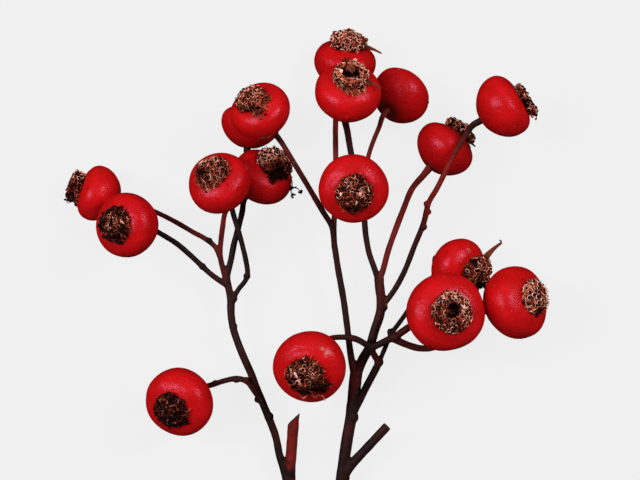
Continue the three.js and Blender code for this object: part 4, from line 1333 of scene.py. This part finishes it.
def dried_material(mottle):
    """Dried calyx, by tone: black-brown, which also carries the painted shade in gaps and pits, through
    red-brown and tan to cream.
    """
    material, nodes, shader = start_material("dried_stamens")
    fine = nodes.place(mottle, nodes.position(), Blotch_Scale=700.0, Grain_Scale=3500.0)
    wander = nodes.scaled(fine["Blotches"], 0.3, 0.7, -0.1, 0.1)
    tone = nodes.maths("ADD", nodes.attribute("tone"), wander, clamp=True)
    dull = nodes.ramp(tone, [
        (0.0, (0.006, 0.001, 0.0009)), (0.12, (0.022, 0.0066, 0.0056)), (0.28, (0.07, 0.019, 0.0135)),
        (0.45, (0.17, 0.042, 0.026)), (0.6, (0.32, 0.088, 0.053)), (0.78, (0.58, 0.25, 0.17)),
        (1.0, (0.92, 0.66, 0.54)),
    ])
    warm = nodes.ramp(tone, [
        (0.0, (0.006, 0.0004, 0.0003)), (0.2, (0.05, 0.006, 0.003)), (0.42, (0.21, 0.025, 0.008)),
        (0.65, (0.50, 0.085, 0.022)), (1.0, (0.85, 0.40, 0.20)),
    ])
    nodes.set(
        shader, Base_Color=nodes.mix(nodes.attribute("warmth"), dull, warm), Roughness=0.75,
        Specular_IOR_Level=0.04, Normal=nodes.bump(fine["Grain"], 0.6, 0.00008),
    )
    return material


def bark_material(mottle, flecks):
    """Thin bark: dark brown on old wood, red on young stalks, with lengthwise streaks."""
    material, nodes, shader = start_material("thin_bark")
    position = nodes.position()
    grain = nodes.attribute("grain", "Vector")
    streaks = nodes.place(mottle, grain, Blotch_Scale=1.1, Grain_Scale=4.5)
    patches = nodes.place(mottle, position, Blotch_Scale=120.0, Grain_Scale=1600.0)
    shift = nodes.scaled(patches["Blotches"], 0.3, 0.7, -0.18, 0.18)
    redness = nodes.maths("ADD", nodes.attribute("redness"), shift, clamp=True)
    colour = nodes.ramp(redness, [
        (0.0, (0.015, 0.0065, 0.0045)), (0.22, (0.031, 0.0075, 0.005)), (0.5, (0.085, 0.009, 0.006)),
        (0.8, (0.16, 0.0105, 0.0065)), (1.0, (0.24, 0.0135, 0.0085)),
    ])
    dark = nodes.scaled(streaks["Grain"], 0.42, 0.66, 0.0, 0.62)
    colour = nodes.mix(dark, colour, (0.012, 0.008, 0.008))
    pores = nodes.place(flecks, position, Scale=700.0, Size=0.16)
    colour = nodes.mix(pores["Flecks"], colour, (0.10, 0.05, 0.035))
    scars = nodes.attribute("scars")
    colour = nodes.mix(nodes.scaled(scars, 0.2, 0.8), colour, (0.16, 0.10, 0.025))
    colour = nodes.mix(nodes.scaled(scars, -0.1, -0.8), colour, (0.010, 0.005, 0.004))
    first = nodes.bump(streaks["Grain"], 0.5, 0.00018)
    nodes.set(
        shader, Base_Color=colour, Roughness=nodes.scaled(streaks["Blotches"], 0.3, 0.7, 0.42, 0.62),
        Specular_IOR_Level=0.09, Normal=nodes.bump(patches["Grain"], 0.4, 0.0001, Normal=first),
    )
    return material


def cut_wood_material(mottle):
    """The face of a cut: wood that has dried dark brown."""
    material, nodes, shader = start_material("cut_wood")
    fine = nodes.place(mottle, nodes.position(), Blotch_Scale=500.0, Grain_Scale=3000.0)
    colour = nodes.ramp(fine["Grain"], [(0.35, (0.025, 0.012, 0.009)), (0.65, (0.07, 0.035, 0.025))])
    nodes.set(
        shader, Base_Color=colour, Roughness=0.8, Normal=nodes.bump(fine["Grain"], 0.4, 0.0001),
    )
    return material


def give_material(piece, material):
    piece.data.materials.clear()
    piece.data.materials.append(material)


# ---- Build the sprig ----

mottle = mottle_group()
flecks = fleck_group()
skin = hip_skin_material(mottle, flecks)
dried = dried_material(mottle)
bark = bark_material(mottle, flecks)
cut_wood = cut_wood_material(mottle)

hip_pattern = lathe("hip_pattern", hip_outline(), HIP_SIDES)
for number in HIPS:
    give_material(make_hip(number, hip_pattern), skin)
bpy.data.objects.remove(hip_pattern)

crown_parts = {
    "thread": Pattern(model_thread()),
    "stub": Pattern(model_stub()),
    "sac": Pattern(model_sac()),
    "blade": Pattern(model_blade()),
}
for number in HIPS:
    give_material(make_crown(number, crown_parts), dried)

make_stem(bark, cut_wood)

# ---- Floor, lights and camera ----

VIEW_CENTRE = in_frame((0, 0, 0))
CAMERA_HEIGHT = 0.54
LENS = 100
FLOOR_GLOW = 0.82
WORLD_STRENGTH = 0.22
BOX_COLOUR = (1.0, 0.86, 0.95)


def make_floor():
    """A pale table that lights up evenly, so that hardly a shadow shows on it."""
    deselect_all()
    bpy.ops.mesh.primitive_plane_add(size=4, location=(0, 0, 0))
    floor = bpy.context.object
    floor.name = "table_top"
    material, nodes, shader = start_material("pale_table")
    nodes.set(
        shader, Base_Color=(0.05, 0.05, 0.05), Roughness=1.0, Specular_IOR_Level=0.0,
        Emission_Color=(1, 1, 1), Emission_Strength=FLOOR_GLOW,
    )
    give_material(floor, material)
    floor.visible_diffuse = False
    floor.visible_glossy = False


def soft_box(name, place, size, power, colour, mirrored=True):
    """An area light; where it isn't mirrored, it makes no highlight on the skins."""
    light = bpy.data.lights.new(name, "AREA")
    light.shape = "RECTANGLE"
    light.size, light.size_y = size
    light.energy = power
    light.color = colour
    lamp = add_object(name, light)
    lamp.location = Vector(place) + VIEW_CENTRE
    lamp.rotation_euler = (-Vector(place)).to_track_quat("-Z", "Y").to_euler()
    lamp.visible_glossy = mirrored


def make_camera():
    data = bpy.data.cameras.new("camera")
    data.lens = LENS
    camera = add_object("camera", data)
    camera.location = VIEW_CENTRE + Vector((0, 0, CAMERA_HEIGHT))
    bpy.context.scene.camera = camera


make_floor()
make_camera()
soft_box("left_box", (-0.55, 0.12, 0.66), (0.2, 0.5), 5.2, BOX_COLOUR)
soft_box("right_box", (0.55, 0.28, 0.66), (0.2, 0.34), 4.2, BOX_COLOUR)
soft_box("sky_box", (0, 0.85, 1.0), (1.6, 1.2), 5.0, (1.0, 1.0, 1.0), mirrored=False)

world = bpy.data.worlds.new("studio")
world.use_nodes = True
Nodes(world.node_tree).set(
    world.node_tree.nodes["Background"], Color=(1, 1, 1), Strength=WORLD_STRENGTH,
)
world.cycles_visibility.glossy = False
bpy.context.scene.world = world
bpy.context.scene.view_settings.view_transform = "Standard"
